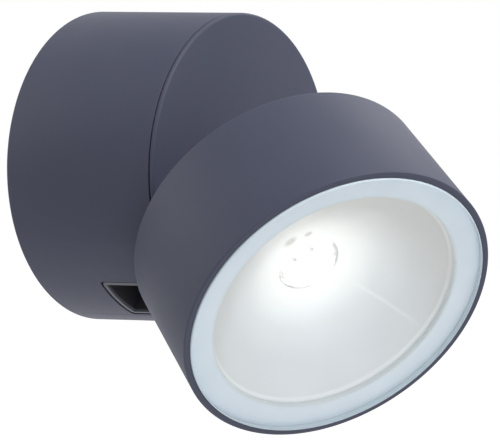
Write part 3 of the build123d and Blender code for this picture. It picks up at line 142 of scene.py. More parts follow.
# ---------------------------------------------------------------- frames, from the joints
joints = {joint["name"]: joint for joint in frame["joints"]}
tilt = joints["tilt"]
TILT_AXIS = Vector(tilt["axis"])
TILT_REST = radians(-tilt["range_deg"][0])
OUT_OF_WALL = Vector((0, -1, 0))


def placed(origin, x_axis, z_axis):
    """The matrix of a frame with this origin, X axis and Z axis."""
    y_axis = z_axis.cross(x_axis)
    turn = Matrix((x_axis, y_axis, z_axis)).transposed()
    return Matrix.Translation(origin) @ turn.to_4x4()


CAN = placed(Vector((0, 0, 0)), TILT_AXIS, OUT_OF_WALL)
PIN = CAN @ Matrix.Translation(Vector((0, -HINGE_OFFSET, HINGE_HEIGHT)) * MM)
HINGE = PIN @ Matrix.Rotation(TILT_REST, 4, "X")
HEAD = HINGE @ Matrix.Translation(Vector((0, HINGE_OFFSET, HEAD_TO_HINGE)) * MM)
HEAD_AXIS = (HEAD.to_3x3() @ Vector((0, 0, 1))).normalized()
ALONG_PIN = PIN @ Matrix.Rotation(pi / 2, 4, "Y")


# ---------------------------------------------------------------- modelling
def deselect():
    for thing in bpy.context.selected_objects:
        thing.select_set(False)


def primitive(kind, name, **settings):
    """A new primitive, alone in the selection."""
    deselect()
    getattr(bpy.ops.mesh, "primitive_" + kind + "_add")(**settings)
    piece = bpy.context.active_object
    piece.name = name
    piece.data.name = name
    return piece


def edit(piece):
    deselect()
    piece.select_set(True)
    bpy.context.view_layer.objects.active = piece
    bpy.ops.object.mode_set(mode="EDIT")
    bpy.ops.mesh.select_mode(type="VERT")
    bpy.ops.mesh.select_all(action="SELECT")


def leave():
    bpy.ops.object.mode_set(mode="OBJECT")


def settle(piece, place):
    """Stands a piece in its frame, with its place in its mesh."""
    deselect()
    piece.select_set(True)
    bpy.context.view_layer.objects.active = piece
    piece.matrix_world = place @ piece.matrix_world
    bpy.ops.object.transform_apply(location=True, rotation=True, scale=True)
    return piece


def modify(piece, kind, **settings):
    """Adds a modifier and applies it."""
    deselect()
    piece.select_set(True)
    bpy.context.view_layer.objects.active = piece
    modifier = piece.modifiers.new(kind.lower(), kind)
    for setting, value in settings.items():
        setattr(modifier, setting, value)
    bpy.ops.object.modifier_apply(modifier=modifier.name)
    return piece


def smooth(piece, angle=30):
    deselect()
    piece.select_set(True)
    bpy.context.view_layer.objects.active = piece
    bpy.ops.object.shade_smooth_by_angle(angle=radians(angle))
    return piece


def rounded(corners, pieces=4):
    """Points of a profile whose corners (radius, height, rounding) are rounded off."""
    points = []
    count = len(corners)
    for index, (across, up, size) in enumerate(corners):
        here = Vector((across, up))
        if size == 0:
            points.append(here)
            continue
        before = (Vector(corners[index - 1][:2]) - here).normalized()
        after = (Vector(corners[(index + 1) % count][:2]) - here).normalized()
        half_angle = before.angle(after) / 2
        centre = here + (before + after).normalized() * size / cos(half_angle)
        start = here + before * size
        radius = (start - centre).length
        first = atan2(start.y - centre.y, start.x - centre.x)
        finish = here + after * size
        turn = atan2(finish.y - centre.y, finish.x - centre.x) - first
        turn = (turn + pi) % (2 * pi) - pi
        for step in range(pieces + 1):
            angle = first + turn * step / pieces
            points.append(centre + Vector((cos(angle), sin(angle))) * radius)
    return points


def turned(name, place, points, closed=True, steps=STEPS):
    """A turned piece: its profile is drawn out point by point and spun about the frame's Z axis."""
    piece = primitive("plane", name, size=MM)
    edit(piece)
    bpy.ops.mesh.merge(type="CENTER")
    start = Vector((points[0][0], 0, points[0][1])) * MM
    bpy.ops.transform.translate(value=start)
    route = list(points[1:]) + ([points[0]] if closed else [])
    for before, after in zip(points, route):
        step = Vector((after[0] - before[0], 0, after[1] - before[1])) * MM
        bpy.ops.mesh.extrude_region_move(TRANSFORM_OT_translate={"value": step})
    bpy.ops.mesh.select_all(action="SELECT")
    bpy.ops.mesh.remove_doubles(threshold=PROFILE_MERGE * MM)
    bpy.ops.mesh.spin(steps=steps, angle=2 * pi, center=(0, 0, 0), axis=(0, 0, 1))
    bpy.ops.mesh.select_all(action="SELECT")
    bpy.ops.mesh.remove_doubles(threshold=SEAM_MERGE * MM)
    bpy.ops.mesh.normals_make_consistent(inside=False)
    leave()
    return settle(piece, place)


def cut(piece, *tools, operation="DIFFERENCE"):
    """Cuts pieces out of another, and removes them."""
    for tool in tools:
        modify(piece, "BOOLEAN", operation=operation, object=tool, solver="EXACT")
        bpy.data.objects.remove(tool)
    return piece


def block(name, place, size, centre, corner=0, axis="Y"):
    """A box in a frame, in millimetres, with rounded edges along one axis."""
    piece = primitive("cube", name, size=1)
    piece.scale = Vector(size) * MM
    piece.location = Vector(centre) * MM
    bpy.ops.object.transform_apply(location=True, rotation=True, scale=True)
    if corner:
        edit(piece)
        bpy.ops.mesh.select_all(action="DESELECT")
        leave()
        along = "XYZ".index(axis)
        for edge in piece.data.edges:
            ends = [piece.data.vertices[index].co for index in edge.vertices]
            edge.select = abs((ends[0] - ends[1]).normalized()[along]) > 0.9
        bpy.ops.object.mode_set(mode="EDIT")
        bpy.ops.mesh.select_mode(type="EDGE")
        bpy.ops.mesh.bevel(offset=corner * MM, segments=5)
        leave()
    return settle(piece, place)


def slot_cutter():
    depth = BASE_BACK_RADIUS
    height = BASE_DEPTH - SLOT_BASE + 10
    centre = (0, -SLOT_INNER - depth / 2, SLOT_BASE + height / 2)
    return block("slot_cutter", CAN, (SLOT_WIDTH, depth, height), centre, SLOT_CORNER)


def corner_cutter(radius=HINGE_ROUND):
    """What lies past the round about the pin, between the can's side and its front."""
    reach = BASE_BACK_RADIUS
    piece = block("corner_cutter", PIN, (2 * reach, reach, reach), (0, -reach / 2, reach / 2))
    core = primitive("cylinder", "corner_core", vertices=STEPS, radius=radius * MM, depth=3 * reach * MM)
    settle(core, ALONG_PIN)
    return cut(piece, core)


def drill(place, radius, start, finish):
    """A round tool along a frame's Z axis."""
    depth = (finish - start) * MM
    piece = primitive("cylinder", "drill", vertices=HOLE_STEPS, radius=radius * MM, depth=depth)
    return settle(piece, place @ Matrix.Translation((0, 0, (start + finish) / 2 * MM)))


def break_edges(piece, width):
    """Takes the sharpness off a piece's edges."""
    limit = radians(50)
    return modify(piece, "BEVEL", width=width * MM, segments=2, limit_method="ANGLE", angle_limit=limit)


def can_radius(height):
    return BASE_BACK_RADIUS - (BASE_BACK_RADIUS - BASE_FRONT_RADIUS) * height / BASE_DEPTH


def head_radius(height):
    return HEAD_BACK_RADIUS + (HEAD_FRONT_RADIUS - HEAD_BACK_RADIUS) * height / HEAD_LENGTH


def ready(piece, slot, body, *replaced):
    """Hides the CAD nodes that the piece stands for and hangs it on the body it rides on. The slot is
    not used.
    """
    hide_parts(*replaced)
    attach(piece, body)
    return piece


def outward(angle):
    """A frame on the can's axis that looks outwards at the height of the grub screws."""
    lift = Matrix.Translation((0, 0, LOCK_HEIGHT * MM))
    return CAN @ lift @ Matrix.Rotation(radians(angle), 4, "Z") @ Matrix.Rotation(pi / 2, 4, "Y")


def make_base_can():
    low, high = SEAT_HEIGHTS
    ledge_low, ledge_high = LEDGE_HEIGHTS
    corners = [
        (can_radius(WALL_GAP), WALL_GAP, EDGE_ROUND),
        (can_radius(MOUTH_TOP), MOUTH_TOP, LIP_ROUND),
        (MOUTH_RADIUS, MOUTH_TOP, LIP_ROUND),
        (MOUTH_RADIUS, ledge_high, 0),
        (LEDGE_INNER, ledge_high, 0),
        (LEDGE_INNER, ledge_low, 0),
        (can_radius(ledge_low) - BASE_WALL, ledge_low, 0),
        (can_radius(high) - BASE_WALL, high, 0),
        (SEAT_INNER, high, 0),
        (SEAT_INNER, low, 0),
        (can_radius(low) - BASE_WALL, low, 0),
        (can_radius(WALL_GAP) - BASE_WALL, WALL_GAP, 0.3),
    ]
    piece = turned("base_can", CAN, rounded(corners))
    cut(piece, slot_cutter(), corner_cutter())
    for angle in LOCK_ANGLES:
        cut(piece, drill(outward(angle), LOCK_HOLE, *LOCK_BORE))
    smooth(piece)
    return ready(piece, "cast_paint", "base", "base_housing")


def make_cover():
    plug = MOUTH_RADIUS - COVER_PLAY
    corners = [
        (0, COVER_BASE, 0),
        (plug, COVER_BASE, LIP_ROUND),
        (plug, COVER_RIM_BASE, 0),
        (can_radius(COVER_RIM_BASE), COVER_RIM_BASE, LIP_ROUND),
        (can_radius(BASE_DEPTH), BASE_DEPTH, COVER_ROUND),
        (0, BASE_DEPTH, 0),
    ]
    piece = turned("cover_disc", CAN, rounded(corners), closed=False)
    cut(piece, slot_cutter(), corner_cutter())
    smooth(piece)
    return ready(piece, "cast_paint", "base", "front_cover")


def make_liner():
    """The tray that lines the slot: its rim stands just below the surfaces round it."""
    width = SLOT_WIDTH - 2 * LINER_GAP
    depth = BASE_BACK_RADIUS
    base = SLOT_BASE + LINER_GAP
    inner = SLOT_INNER + LINER_GAP
    centre = (0, -inner - depth / 2, base + depth / 2)
    piece = block("slot_tray", CAN, (width, depth, depth), centre, SLOT_CORNER)
    centre = (0, -inner - LINER_WALL - depth / 2, base + LINER_WALL + depth / 2)
    hollow = block("tray_hollow", CAN, (width - 2 * LINER_WALL, depth, depth), centre, LINER_INSET)
    cut(piece, hollow)
    form = turned("can_form", CAN, [
        (0, 0),
        (can_radius(0) - LINER_INSET, 0),
        (can_radius(BASE_DEPTH) - LINER_INSET, BASE_DEPTH - LINER_INSET),
        (0, BASE_DEPTH - LINER_INSET),
    ], closed=False)
    cut(piece, form, operation="INTERSECT")
    cut(piece, corner_cutter(HINGE_ROUND - LINER_INSET))
    cut(piece, drill(ALONG_PIN, BUSH_HOLE, -SLOT_WIDTH, SLOT_WIDTH))
    break_edges(piece, 0.2)
    smooth(piece)
    return ready(piece, "liner_paint", "base", "slot_liner")


def make_arm():
    """The head's arm: a knuckle on the pin, a short neck and a foot inside the head."""
    width = 2 * ARM_HALF
    foot_base = HEAD_TO_HINGE + HEAD_BACK_WALL
    foot_top = foot_base + FOOT_THICK
    radius = KNUCKLE_RADIUS * MM
    piece = primitive("cylinder", "knuckle_arm", vertices=SMALL_STEPS, radius=radius, depth=width * MM)
    settle(piece, ALONG_PIN)
    neck = block("arm_neck", HINGE, (width, ARM_THICK, foot_top), (0, 0, foot_top / 2))
    centre = (0, 0, foot_base + FOOT_THICK / 2)
    foot = block("arm_foot", HINGE, (*FOOT_SIZE, FOOT_THICK), centre, FOOT_CORNER, "Z")
    cut(piece, neck, foot, operation="UNION")
    cut(piece, drill(ALONG_PIN, PIN_HOLE, -20, 20), drill(HINGE, LEAD_HOLE, 0, 2 * foot_top))
    for x in (-FOOT_SCREWS[0], FOOT_SCREWS[0]):
        for y in (-FOOT_SCREWS[1], FOOT_SCREWS[1]):
            corner = HINGE @ Matrix.Translation((x * MM, y * MM, 0))
            cut(piece, drill(corner, FOOT_SCREW_HOLE, foot_base - 1, foot_top + 1))
    break_edges(piece, 0.3)
    smooth(piece)
    return ready(piece, "cast_paint", "head", "hinge_arm")


def make_head_shell():
    corners = [
        (0, 0, 0),
        (head_radius(0), 0, EDGE_ROUND),
        (head_radius(HEAD_LENGTH), HEAD_LENGTH, RIM_ROUND),
        (REBATE_RADIUS, HEAD_LENGTH, 0.2),
        (REBATE_RADIUS, GLASS_LEDGE_HEIGHT, 0),
        (GLASS_LEDGE_INNER, GLASS_LEDGE_HEIGHT, 0),
        (GLASS_LEDGE_INNER, GLASS_LEDGE_HEIGHT - HEAD_WALL, 0),
        (head_radius(TAPER_TOP) - HEAD_WALL, TAPER_TOP, 0),
        (head_radius(HEAD_BACK_WALL) - HEAD_WALL, HEAD_BACK_WALL, 1.0),
        (0, HEAD_BACK_WALL, 0),
    ]
    piece = turned("head_shell", HEAD, rounded(corners), closed=False)
    width, thickness = ARM_HOLE
    hole = block("arm_hole", HEAD, (width, thickness, 20), (0, -HINGE_OFFSET, 0))
    cut(piece, hole)
    smooth(piece)
    return ready(piece, "cast_paint", "head", "head_housing")


def make_glass():
    low, high = GLASS_HEIGHTS
    corners = [
        (0, low, 0),
        (GLASS_RADIUS, low, 0.3),
        (GLASS_RADIUS, high, GLASS_BEVEL),
        (0, high, 0),
    ]
    piece = turned("glass_disc", HEAD, rounded(corners), closed=False)
    smooth(piece)
    for side in piece.data.polygons:
        side.material_index = int(abs(side.normal.dot(HEAD_AXIS)) < 0.98)
    return ready(piece, "front_glass", "head", "front_glass")


def make_border():
    """The print behind the glass, which lifts it into view by its refraction."""
    low = GLASS_HEIGHTS[0] - BORDER_THICK
    high = GLASS_HEIGHTS[0] + BORDER_LIFT
    outer = GLASS_RADIUS - 0.05
    corners = [
        (BORDER_INNER, low, 0),
        (outer, low, 0),
        (outer, high, 0),
        (BORDER_INNER + 0.3, high, 0.2),
    ]
    piece = turned("printed_border", HEAD, rounded(corners))
    smooth(piece)
    return ready(piece, "border_print", "head", "glass_border")


def bowl_curve(inner, outer, pieces=24):
    """An arc between two points of a section, hollow towards the axis's front."""
    first = Vector(inner)
    last = Vector(outer)
    chord = last - first
    middle = (first + last) / 2
    side = Vector((chord.y, -chord.x)).normalized()
    radius = (chord.length ** 2 / 4 + BOWL_SAG ** 2) / (2 * BOWL_SAG)
    centre = middle - side * (radius - BOWL_SAG)
    start = atan2(first.y - centre.y, first.x - centre.x)
    finish = atan2(last.y - centre.y, last.x - centre.x)
    angles = [start + (finish - start) * step / pieces for step in range(pieces + 1)]
    return [centre + Vector((cos(angle), sin(angle))) * radius for angle in angles]


def make_bowl():
    inside = bowl_curve((BOWL_NECK, BOWL_BASE), (BOWL_MOUTH, BOWL_TOP))
    neck = (BOWL_NECK, BOWL_BASE - BOWL_SHEET)
    outside = bowl_curve(neck, (BOWL_MOUTH + BOWL_SHEET, BOWL_TOP - BOWL_SHEET))
    flange = [
        Vector((BOWL_MOUTH + BOWL_FLANGE, BOWL_TOP)),
        Vector((BOWL_MOUTH + BOWL_FLANGE, BOWL_TOP - BOWL_SHEET)),
    ]
    piece = turned("reflector_bowl", HEAD, inside + flange + outside[::-1])
    smooth(piece, 40)
    return ready(piece, "reflector_white", "head", "reflector")


def make_lens():
    """Moulded lens: a dome that rises from a flat edge, with a hollow in its top."""
    edge = LENS_BASE + LENS_EDGE
    top = LENS_BASE + LENS_HEIGHT
    corners = [
        (0, LENS_BASE, 0),
        (LENS_RADIUS, LENS_BASE, 0.1),
        (LENS_RADIUS, edge, 0.2),
        (LENS_RADIUS - LENS_STEP, edge + 0.2, 0.2),
        (LENS_RADIUS - 2 * LENS_STEP, top - 0.9, 0.8),
        (2 * LENS_DIMPLE, top, 0.8),
        (LENS_DIMPLE, top - LENS_DIMPLE_DEPTH, 0.3),
        (0, top - LENS_DIMPLE_DEPTH, 0),
    ]
    piece = turned("lens_dome", HEAD, rounded(corners), closed=False, steps=SMALL_STEPS)
    smooth(piece)
    return ready(piece, "lens_clear", "head", "led_lens")


def make_lens_ring():
    """The ring that holds the lens, with three small clips on it."""
    inner = LENS_RADIUS + 0.1
    outer = inner + RING_WALL
    foot = outer + RING_WALL
    corners = [
        (LENS_RADIUS - RING_WALL / 2, BOARD_TOP, 0),
        (foot, BOARD_TOP, 0),
        (foot, LENS_BASE, 0.2),
        (outer, LENS_BASE, 0),
        (outer, RING_TOP, 0.3),
        (inner, RING_TOP, 0.3),
        (inner, LENS_BASE, 0),
        (LENS_RADIUS - RING_WALL / 2, LENS_BASE, 0),
    ]
    piece = turned("lens_ring", HEAD, rounded(corners), steps=SMALL_STEPS)
    for angle in CLIP_ANGLES:
        spoke = HEAD @ Matrix.Rotation(radians(angle), 4, "Z")
        centre = (inner - CLIP_INSET, 0, RING_TOP + CLIP_LIFT)
        clip = block("lens_clip", spoke, CLIP_SIZE, centre, CLIP_CORNER, "Z")
        cut(piece, clip, operation="UNION")
    smooth(piece)
    return ready(piece, "case_plastic", "head", "lens_holder")


# ---------------------------------------------------------------- finishes
COAT_DARK = (0.043, 0.048, 0.082)
COAT_LIGHT = (0.052, 0.057, 0.092)
BORDER_DARK = (0.66, 0.75, 0.83)
BORDER_LIGHT = (0.70, 0.79, 0.87)
# The next colour is painted shade for the print's inner edge.
BORDER_EDGE_SHADE = (0.58, 0.63, 0.64)
BOWL_DARK = (0.56, 0.56, 0.54)
BOWL_LIGHT = (0.59, 0.59, 0.57)
# The next colour is a painted highlight along the bowl's lip.
BOWL_LIP_HIGHLIGHT = (0.74, 0.74, 0.72)
# The next colour is painted shade just outside the bowl's lip.
BOWL_RIM_SHADE = (0.52, 0.53, 0.51)
BOWL_REACH = 50.0           # the bowl's ramps below run over this distance, in millimetres
LED_GLOW = ((0.22, 0.38), (0.36, 0.24), (0.48, 0.09), (0.66, 0.0))
LED_COLOUR = (1.0, 0.975, 0.84)
BEAM_GLOW = ((0.0, 0.23), (0.38, 0.18), (0.64, 0.14), (0.84, 0.05), (1.0, 0.0))
BEAM_COLOUR = (0.84, 1.0, 1.24)
BEAM_ANGLE = radians(325)   # the LED throws more light to this side
BEAM_OFFSET = 20.0
# The painted highlight streak runs at this angle round the head's axis.
STREAK_ANGLE = 22
LENS_GLOW = 3.0
GLASS_TINT = (0.80, 0.92, 0.95)
GLASS_SHINE = (0.97, 0.99, 1.0)
GLASS_FACING = 0.04         # the share that glass reflects when it is faced
PALE_RIM_REACH = 1.5            # the liner is paler over this depth behind the can's side
BLACK = (0.0, 0.0, 0.0)

# Marks round the LED: distance from the axis, angle, size
BOWL_MARKS = ((15.5, 178, 3.0), (14.3, 153, 1.8))
LENS_MARKS = ((7.3, 200, 1.5), (7.3, 145, 1.5))
RING_MARKS = ((9.6, 252, 4.4), (9.6, 300, 5.0), (9.6, 335, 3.4), (9.6, 75, 5.0), (9.6, 40, 4.4))


class Value:
    """An output of a shader node. Sums with it add the Math nodes."""

    def __init__(self, finish, output):
        self.finish = finish
        self.output = output

    def sum(self, operation, first, second):
        return self.finish.node("ShaderNodeMath", {"operation": operation}, {0: first, 1: second})

    def __add__(self, other):
        return self.sum("ADD", self, other)

    def __sub__(self, other):
        return self.sum("SUBTRACT", self, other)

    def __mul__(self, other):
        return self.sum("MULTIPLY", self, other)

    def __truediv__(self, other):
        return self.sum("DIVIDE", self, other)

    def __rsub__(self, other):
        return self.sum("SUBTRACT", other, self)

    def __pow__(self, other):
        return self.sum("POWER", self, other)

    __radd__ = __add__
    __rmul__ = __mul__


class Finish:
    """A material, with its Principled shader and the nodes that feed it."""

    def __init__(self, name, **constants):
        self.material = bpy.data.materials.new(name)
        self.material.use_nodes = True
        self.tree = self.material.node_tree
        self.shader = self.tree.nodes["Principled BSDF"]
        self.result = self.tree.nodes["Material Output"]
        self.places = Value(self, self.tree.nodes.new("ShaderNodeTexCoord").outputs["Object"])
        for socket, value in constants.items():
            self.give(socket.replace("_", " "), value)

    def feed(self, socket, value):
        if isinstance(value, Value):
            self.tree.links.new(value.output, socket)
        elif isinstance(value, (tuple, list)) and len(value) == 3 and socket.type == "RGBA":
            socket.default_value = (*value, 1)
        else:
            socket.default_value = value

    def give(self, socket, value):
        """Sets or links one of the shader's sockets."""
        self.feed(self.shader.inputs[socket], value)

    def node(self, kind, settings, sockets, output=0):
        """Adds a node: first its settings, then its sockets' values or links."""
        made = self.tree.nodes.new(kind)
        for setting, value in settings.items():
            if setting == "stops":
                for position, shade in value[2:]:
                    made.color_ramp.elements.new(position)
                for element, (position, shade) in zip(made.color_ramp.elements, value):
                    element.position = position
                    element.color = (*shade, 1) if isinstance(shade, tuple) else (shade, shade, shade, 1)
            else:
                setattr(made, setting, value)
        for socket, value in sockets.items():
            self.feed(made.inputs[socket], value)
        return Value(self, made.outputs[output])

    def noise(self, size, detail):
        """Noise with grains of about this size, in millimetres."""
        sockets = {"Vector": self.places, "Scale": 1 / (size * MM), "Detail": detail}
        return self.node("ShaderNodeTexNoise", {}, sockets)

    def ramp(self, value, *stops):
        """A grey or a colour for each value, between the stops (value, shade)."""
        return self.node("ShaderNodeValToRGB", {"stops": stops}, {0: value})

    def mix(self, share, first, second):
        """Mixes two colours."""
        sockets = {0: share, 6: first, 7: second}
        return self.node("ShaderNodeMix", {"data_type": "RGBA"}, sockets, output=2)

    def bump(self, height, depth, strength):
        """Feeds the normal with a relief of this depth, in millimetres."""
        sockets = {"Height": height, "Distance": depth * MM, "Strength": strength}
        self.give("Normal", self.node("ShaderNodeBump", {}, sockets))

    def vector(self, operation, first, second=None, output=0):
        sockets = {0: first} if second is None else {0: first, 1: second}
        return self.node("ShaderNodeVectorMath", {"operation": operation}, sockets, output)

    def from_origin(self, place):
        """The way from a frame's origin, in metres."""
        return self.vector("SUBTRACT", self.places, tuple(place.translation))

    def across_axis(self, place, angle):
        """Distance from a frame's axis, in millimetres, measured at an angle round it."""
        way = place.to_3x3() @ Vector((cos(radians(angle)), sin(radians(angle)), 0))
        return self.vector("DOT_PRODUCT", self.from_origin(place), tuple(way), output=1) / MM

    def from_axis(self, place):
        """Distance from the Z axis of a frame, in millimetres."""
        across = self.vector("CROSS_PRODUCT", self.from_origin(place), axis_of(place))
        return self.vector("LENGTH", across, output=1) / MM

    def along_axis(self, place):
        """Height along the Z axis of a frame, in millimetres."""
        return self.vector("DOT_PRODUCT", self.from_origin(place), axis_of(place), output=1) / MM


def axis_of(place):
    return tuple((place.to_3x3() @ Vector((0, 0, 1))).normalized())


def marks(finish, places):
    """1 on the marks round the LED, 0 beside them."""
    total = 0.0
    for across, angle, size in places:
        offset = Vector((cos(radians(angle)), sin(radians(angle)), 0)) * across * MM
        distance = finish.from_axis(HEAD @ Matrix.Translation(offset))
        total = finish.ramp(distance / size, (0.4, 1.0), (1.0, 0.0)) + total
    return total


def powder_coat():
    """Fine matt powder coat: soft clouds in its colour and a sandy relief."""
    finish = Finish("powder_coat", IOR=1.38)
    cloud = finish.noise(40, 3)
    grain = finish.noise(0.55, 3)
    speck = finish.noise(0.25, 1)
    tone = cloud * 0.7 + grain * 0.3
    finish.give("Base Color", finish.ramp(tone, (0.35, COAT_DARK), (0.65, COAT_LIGHT)))
    finish.give("Roughness", 0.5 + 0.12 * grain)
    finish.bump(grain * 0.6 + speck * 0.4, 0.05, 0.35)
    return finish.material


def plain(name, colour, roughness, grain=1.0, depth=0.02, metallic=0.0, spread=0.06):
    """A moulded or turned finish: slight clouds in colour and roughness, and a fine relief."""
    finish = Finish(name, Metallic=metallic)
    cloud = finish.noise(grain * 12, 3)
    fine = finish.noise(grain, 2)
    dark = tuple(part * (1 - spread) for part in colour)
    light = tuple(min(1.0, part * (1 + spread)) for part in colour)
    finish.give("Base Color", finish.ramp(cloud, (0.35, dark), (0.65, light)))
    finish.give("Roughness", roughness - 0.05 + 0.1 * fine)
    finish.bump(fine, depth, 0.4)
    return finish.material


def clear_glass():
    """Clear glass: seen through, with a reflection that grows towards grazing views."""
    finish = Finish("clear_glass", Roughness=0.02, Alpha=0.03, Base_Color=GLASS_TINT)
    polish = {"Base Color": GLASS_SHINE, "Metallic": 1.0, "Roughness": 0.03}
    mirror = finish.node("ShaderNodeBsdfPrincipled", {}, polish)
    facing = finish.node("ShaderNodeLayerWeight", {}, {"Blend": 0.5}, output=1)
    share = GLASS_FACING + (1 - GLASS_FACING) * facing ** 5
    clear = Value(finish, finish.shader.outputs[0])
    mixed = finish.node("ShaderNodeMixShader", {}, {0: share, 1: clear, 2: mirror})
    finish.feed(finish.result.inputs["Surface"], mixed)
    return finish.material


def ground_edge():
    """The glass's ground rim: pale and matt, with the fine scratches of the stone."""
    finish = Finish("ground_edge", IOR=1.5)
    scratch = finish.noise(0.15, 3)
    finish.give("Base Color", finish.ramp(scratch, (0.3, (0.56, 0.66, 0.72)), (0.7, (0.66, 0.76, 0.82))))
    finish.give("Roughness", 0.35 + 0.2 * scratch)
    finish.bump(scratch, 0.01, 0.3)
    return finish.material


def printed_border():
    """Milky print: even in the middle, with painted shade that greys its inner edge."""
    finish = Finish("printed_border", IOR=1.5)
    radius = finish.from_axis(HEAD)
    cloud = finish.noise(9, 3)
    milk = finish.ramp(cloud, (0.3, BORDER_DARK), (0.7, BORDER_LIGHT))
    # Painted shade over the print's inner edge.
    edge_shade = finish.ramp((radius - BORDER_INNER) * 0.5, (0.0, 1.0), (0.65, 0.0))
    finish.give("Base Color", finish.mix(edge_shade, milk, BORDER_EDGE_SHADE))
    finish.give("Roughness", 0.32 + 0.1 * cloud)
    finish.bump(finish.noise(0.3, 2), 0.004, 0.3)
    return finish.material


def reflector_white():
    """Matt white bowl: a painted highlight on its lip and a painted highlight streak, painted shade just
    outside the lip, and the LED's soft glow painted in as emission.
    """
    finish = Finish("reflector_white", IOR=1.45, Emission_Strength=1.0)
    radius = finish.from_axis(HEAD) / BOWL_REACH
    cloud = finish.noise(14, 3)
    # A painted highlight streak across the bowl, mixed into its colour.
    along = finish.across_axis(HEAD, STREAK_ANGLE) / BOWL_REACH
    beside = finish.across_axis(HEAD, STREAK_ANGLE + 90)
    streak_band = finish.ramp(beside * beside, (0.0, 1.0), (0.9, 0.0))
    highlight_streak = streak_band * finish.ramp(along, (0.36, 0.0), (0.48, 1.0), (0.72, 1.0), (0.84, 0.0))
    # Painted highlight along the bowl's lip.
    lip_highlight = finish.ramp(radius, (0.836, 0.0), (0.848, 1.0), (0.858, 1.0), (0.864, 0.0))
    # Painted shade just outside the lip, under the print's edge.
    rim = finish.ramp(radius, (0.860, 0.0), (0.872, 1.0))
    white = finish.ramp(cloud, (0.3, BOWL_DARK), (0.7, BOWL_LIGHT))
    white = finish.mix(lip_highlight + highlight_streak * 0.5, white, BOWL_LIP_HIGHLIGHT)
    finish.give("Base Color", finish.mix(rim, white, BOWL_RIM_SHADE))
    beam_side = Vector((cos(BEAM_ANGLE), sin(BEAM_ANGLE), 0)) * BEAM_OFFSET * MM
    from_beam = finish.from_axis(HEAD @ Matrix.Translation(beam_side)) / BOWL_REACH
    near_led = finish.mix(finish.ramp(radius, *LED_GLOW), BLACK, LED_COLOUR)
    in_beam = finish.mix(finish.ramp(from_beam, *BEAM_GLOW), BLACK, BEAM_COLOUR)
    glow = finish.vector("ADD", near_led, in_beam)
    finish.give("Emission Color", finish.mix(marks(finish, BOWL_MARKS), glow, (0.08, 0.08, 0.06)))
    finish.give("Roughness", 0.42 + 0.1 * cloud)
    finish.bump(finish.noise(0.4, 2), 0.01, 0.3)
    return finish.material


def lit_lens():
    """The lens with its LED on: blown out, a little yellower towards its edge."""
    finish = Finish("lit_lens", Roughness=0.12, IOR=1.49, Emission_Strength=LENS_GLOW)
    tone = finish.from_axis(HEAD) / 10 + finish.noise(2.2, 1) * 0.15
    shade = finish.ramp(tone, (0.35, (1.0, 0.995, 0.97)), (0.95, (0.92, 0.90, 0.82)))
    feet = marks(finish, LENS_MARKS)
    finish.give("Emission Color", finish.mix(feet, shade, (0.13, 0.13, 0.13)))
    finish.give("Base Color", finish.mix(feet, (0.93, 0.93, 0.91), (0.35, 0.35, 0.34)))
    return finish.material


def lit_ring():
    """Clear ring round the lens: it shines too, and greys where the light misses it."""
    finish = Finish("lit_ring", Roughness=0.25, Emission_Strength=1.0)
    grey = marks(finish, RING_MARKS) * (0.5 + 0.7 * finish.noise(1.6, 2))
    finish.give("Base Color", finish.mix(grey, (0.90, 0.90, 0.88), (0.50, 0.50, 0.49)))
    finish.give("Emission Color", finish.mix(grey, (0.85, 0.85, 0.80), (0.24, 0.24, 0.23)))
    return finish.material


def near_side(finish):
    """Rises to 1 at the can's side, over the last millimetres inside it."""
    slope = (BASE_BACK_RADIUS - BASE_FRONT_RADIUS) / BASE_DEPTH
    depth = BASE_BACK_RADIUS - slope * finish.along_axis(CAN) - finish.from_axis(CAN)
    return 1 - depth / PALE_RIM_REACH


def liner_grey():
    """The liner: lighter along its rim at the can's side; dark inside, where a black tray is darkened
    further as painted shade.
    """
    finish = Finish("liner_grey", IOR=1.45)
    cloud = finish.noise(10, 3)
    fine = finish.noise(0.5, 2)
    # Lighter along the rim, over the last millimetres behind the can's side.
    rim = finish.ramp(near_side(finish), (0.0, 0.0), (0.35, 1.0))
    # Black plastic, made darker still as painted shade for the slot's depths.
    dark = finish.ramp(cloud, (0.35, (0.016, 0.015, 0.020)), (0.65, (0.025, 0.023, 0.030)))
    finish.give("Base Color", finish.mix(rim, dark, (0.10, 0.105, 0.125)))
    finish.give("Roughness", 0.5 + 0.1 * fine)
    finish.bump(fine, 0.02, 0.4)
    return finish.material


def dress(node, material):
    """Gives a CAD node a material."""
    for place in nodes[node].material_slots:
        place.material = material


# ---------------------------------------------------------------- camera and lights
VIEW_AZIMUTH = radians(-55.586)
VIEW_ELEVATION = radians(2.833)
VIEW_DISTANCE = 16 * BASE_BACK_RADIUS * MM
VIEW_SHIFT_RIGHT = 0.9399 * BASE_BACK_RADIUS * MM
VIEW_SHIFT_UP = -0.3763 * BASE_BACK_RADIUS * MM
LENS = 176.94
SENSOR = 36
AMBIENT = 0.5
FLOOR_HEIGHT = -1.2
FLOOR_SIZE = 30
FLOOR_GLOW = 0.55           # only what the camera and reflections see
LAMP_TARGET = (0, -0.08, 0)
LAMPS = (
    # name, place, size, watts
    ("key", (-0.12, -1.3, 1.43), 1.0, 31),
    ("side", (1.45, -0.08, 1.22), 1.0, 5),
    ("back", (-0.61, 1.6, 0.65), 1.0, 6),
    ("low", (-0.39, -1.16, -0.80), 0.8, 2.7),
)


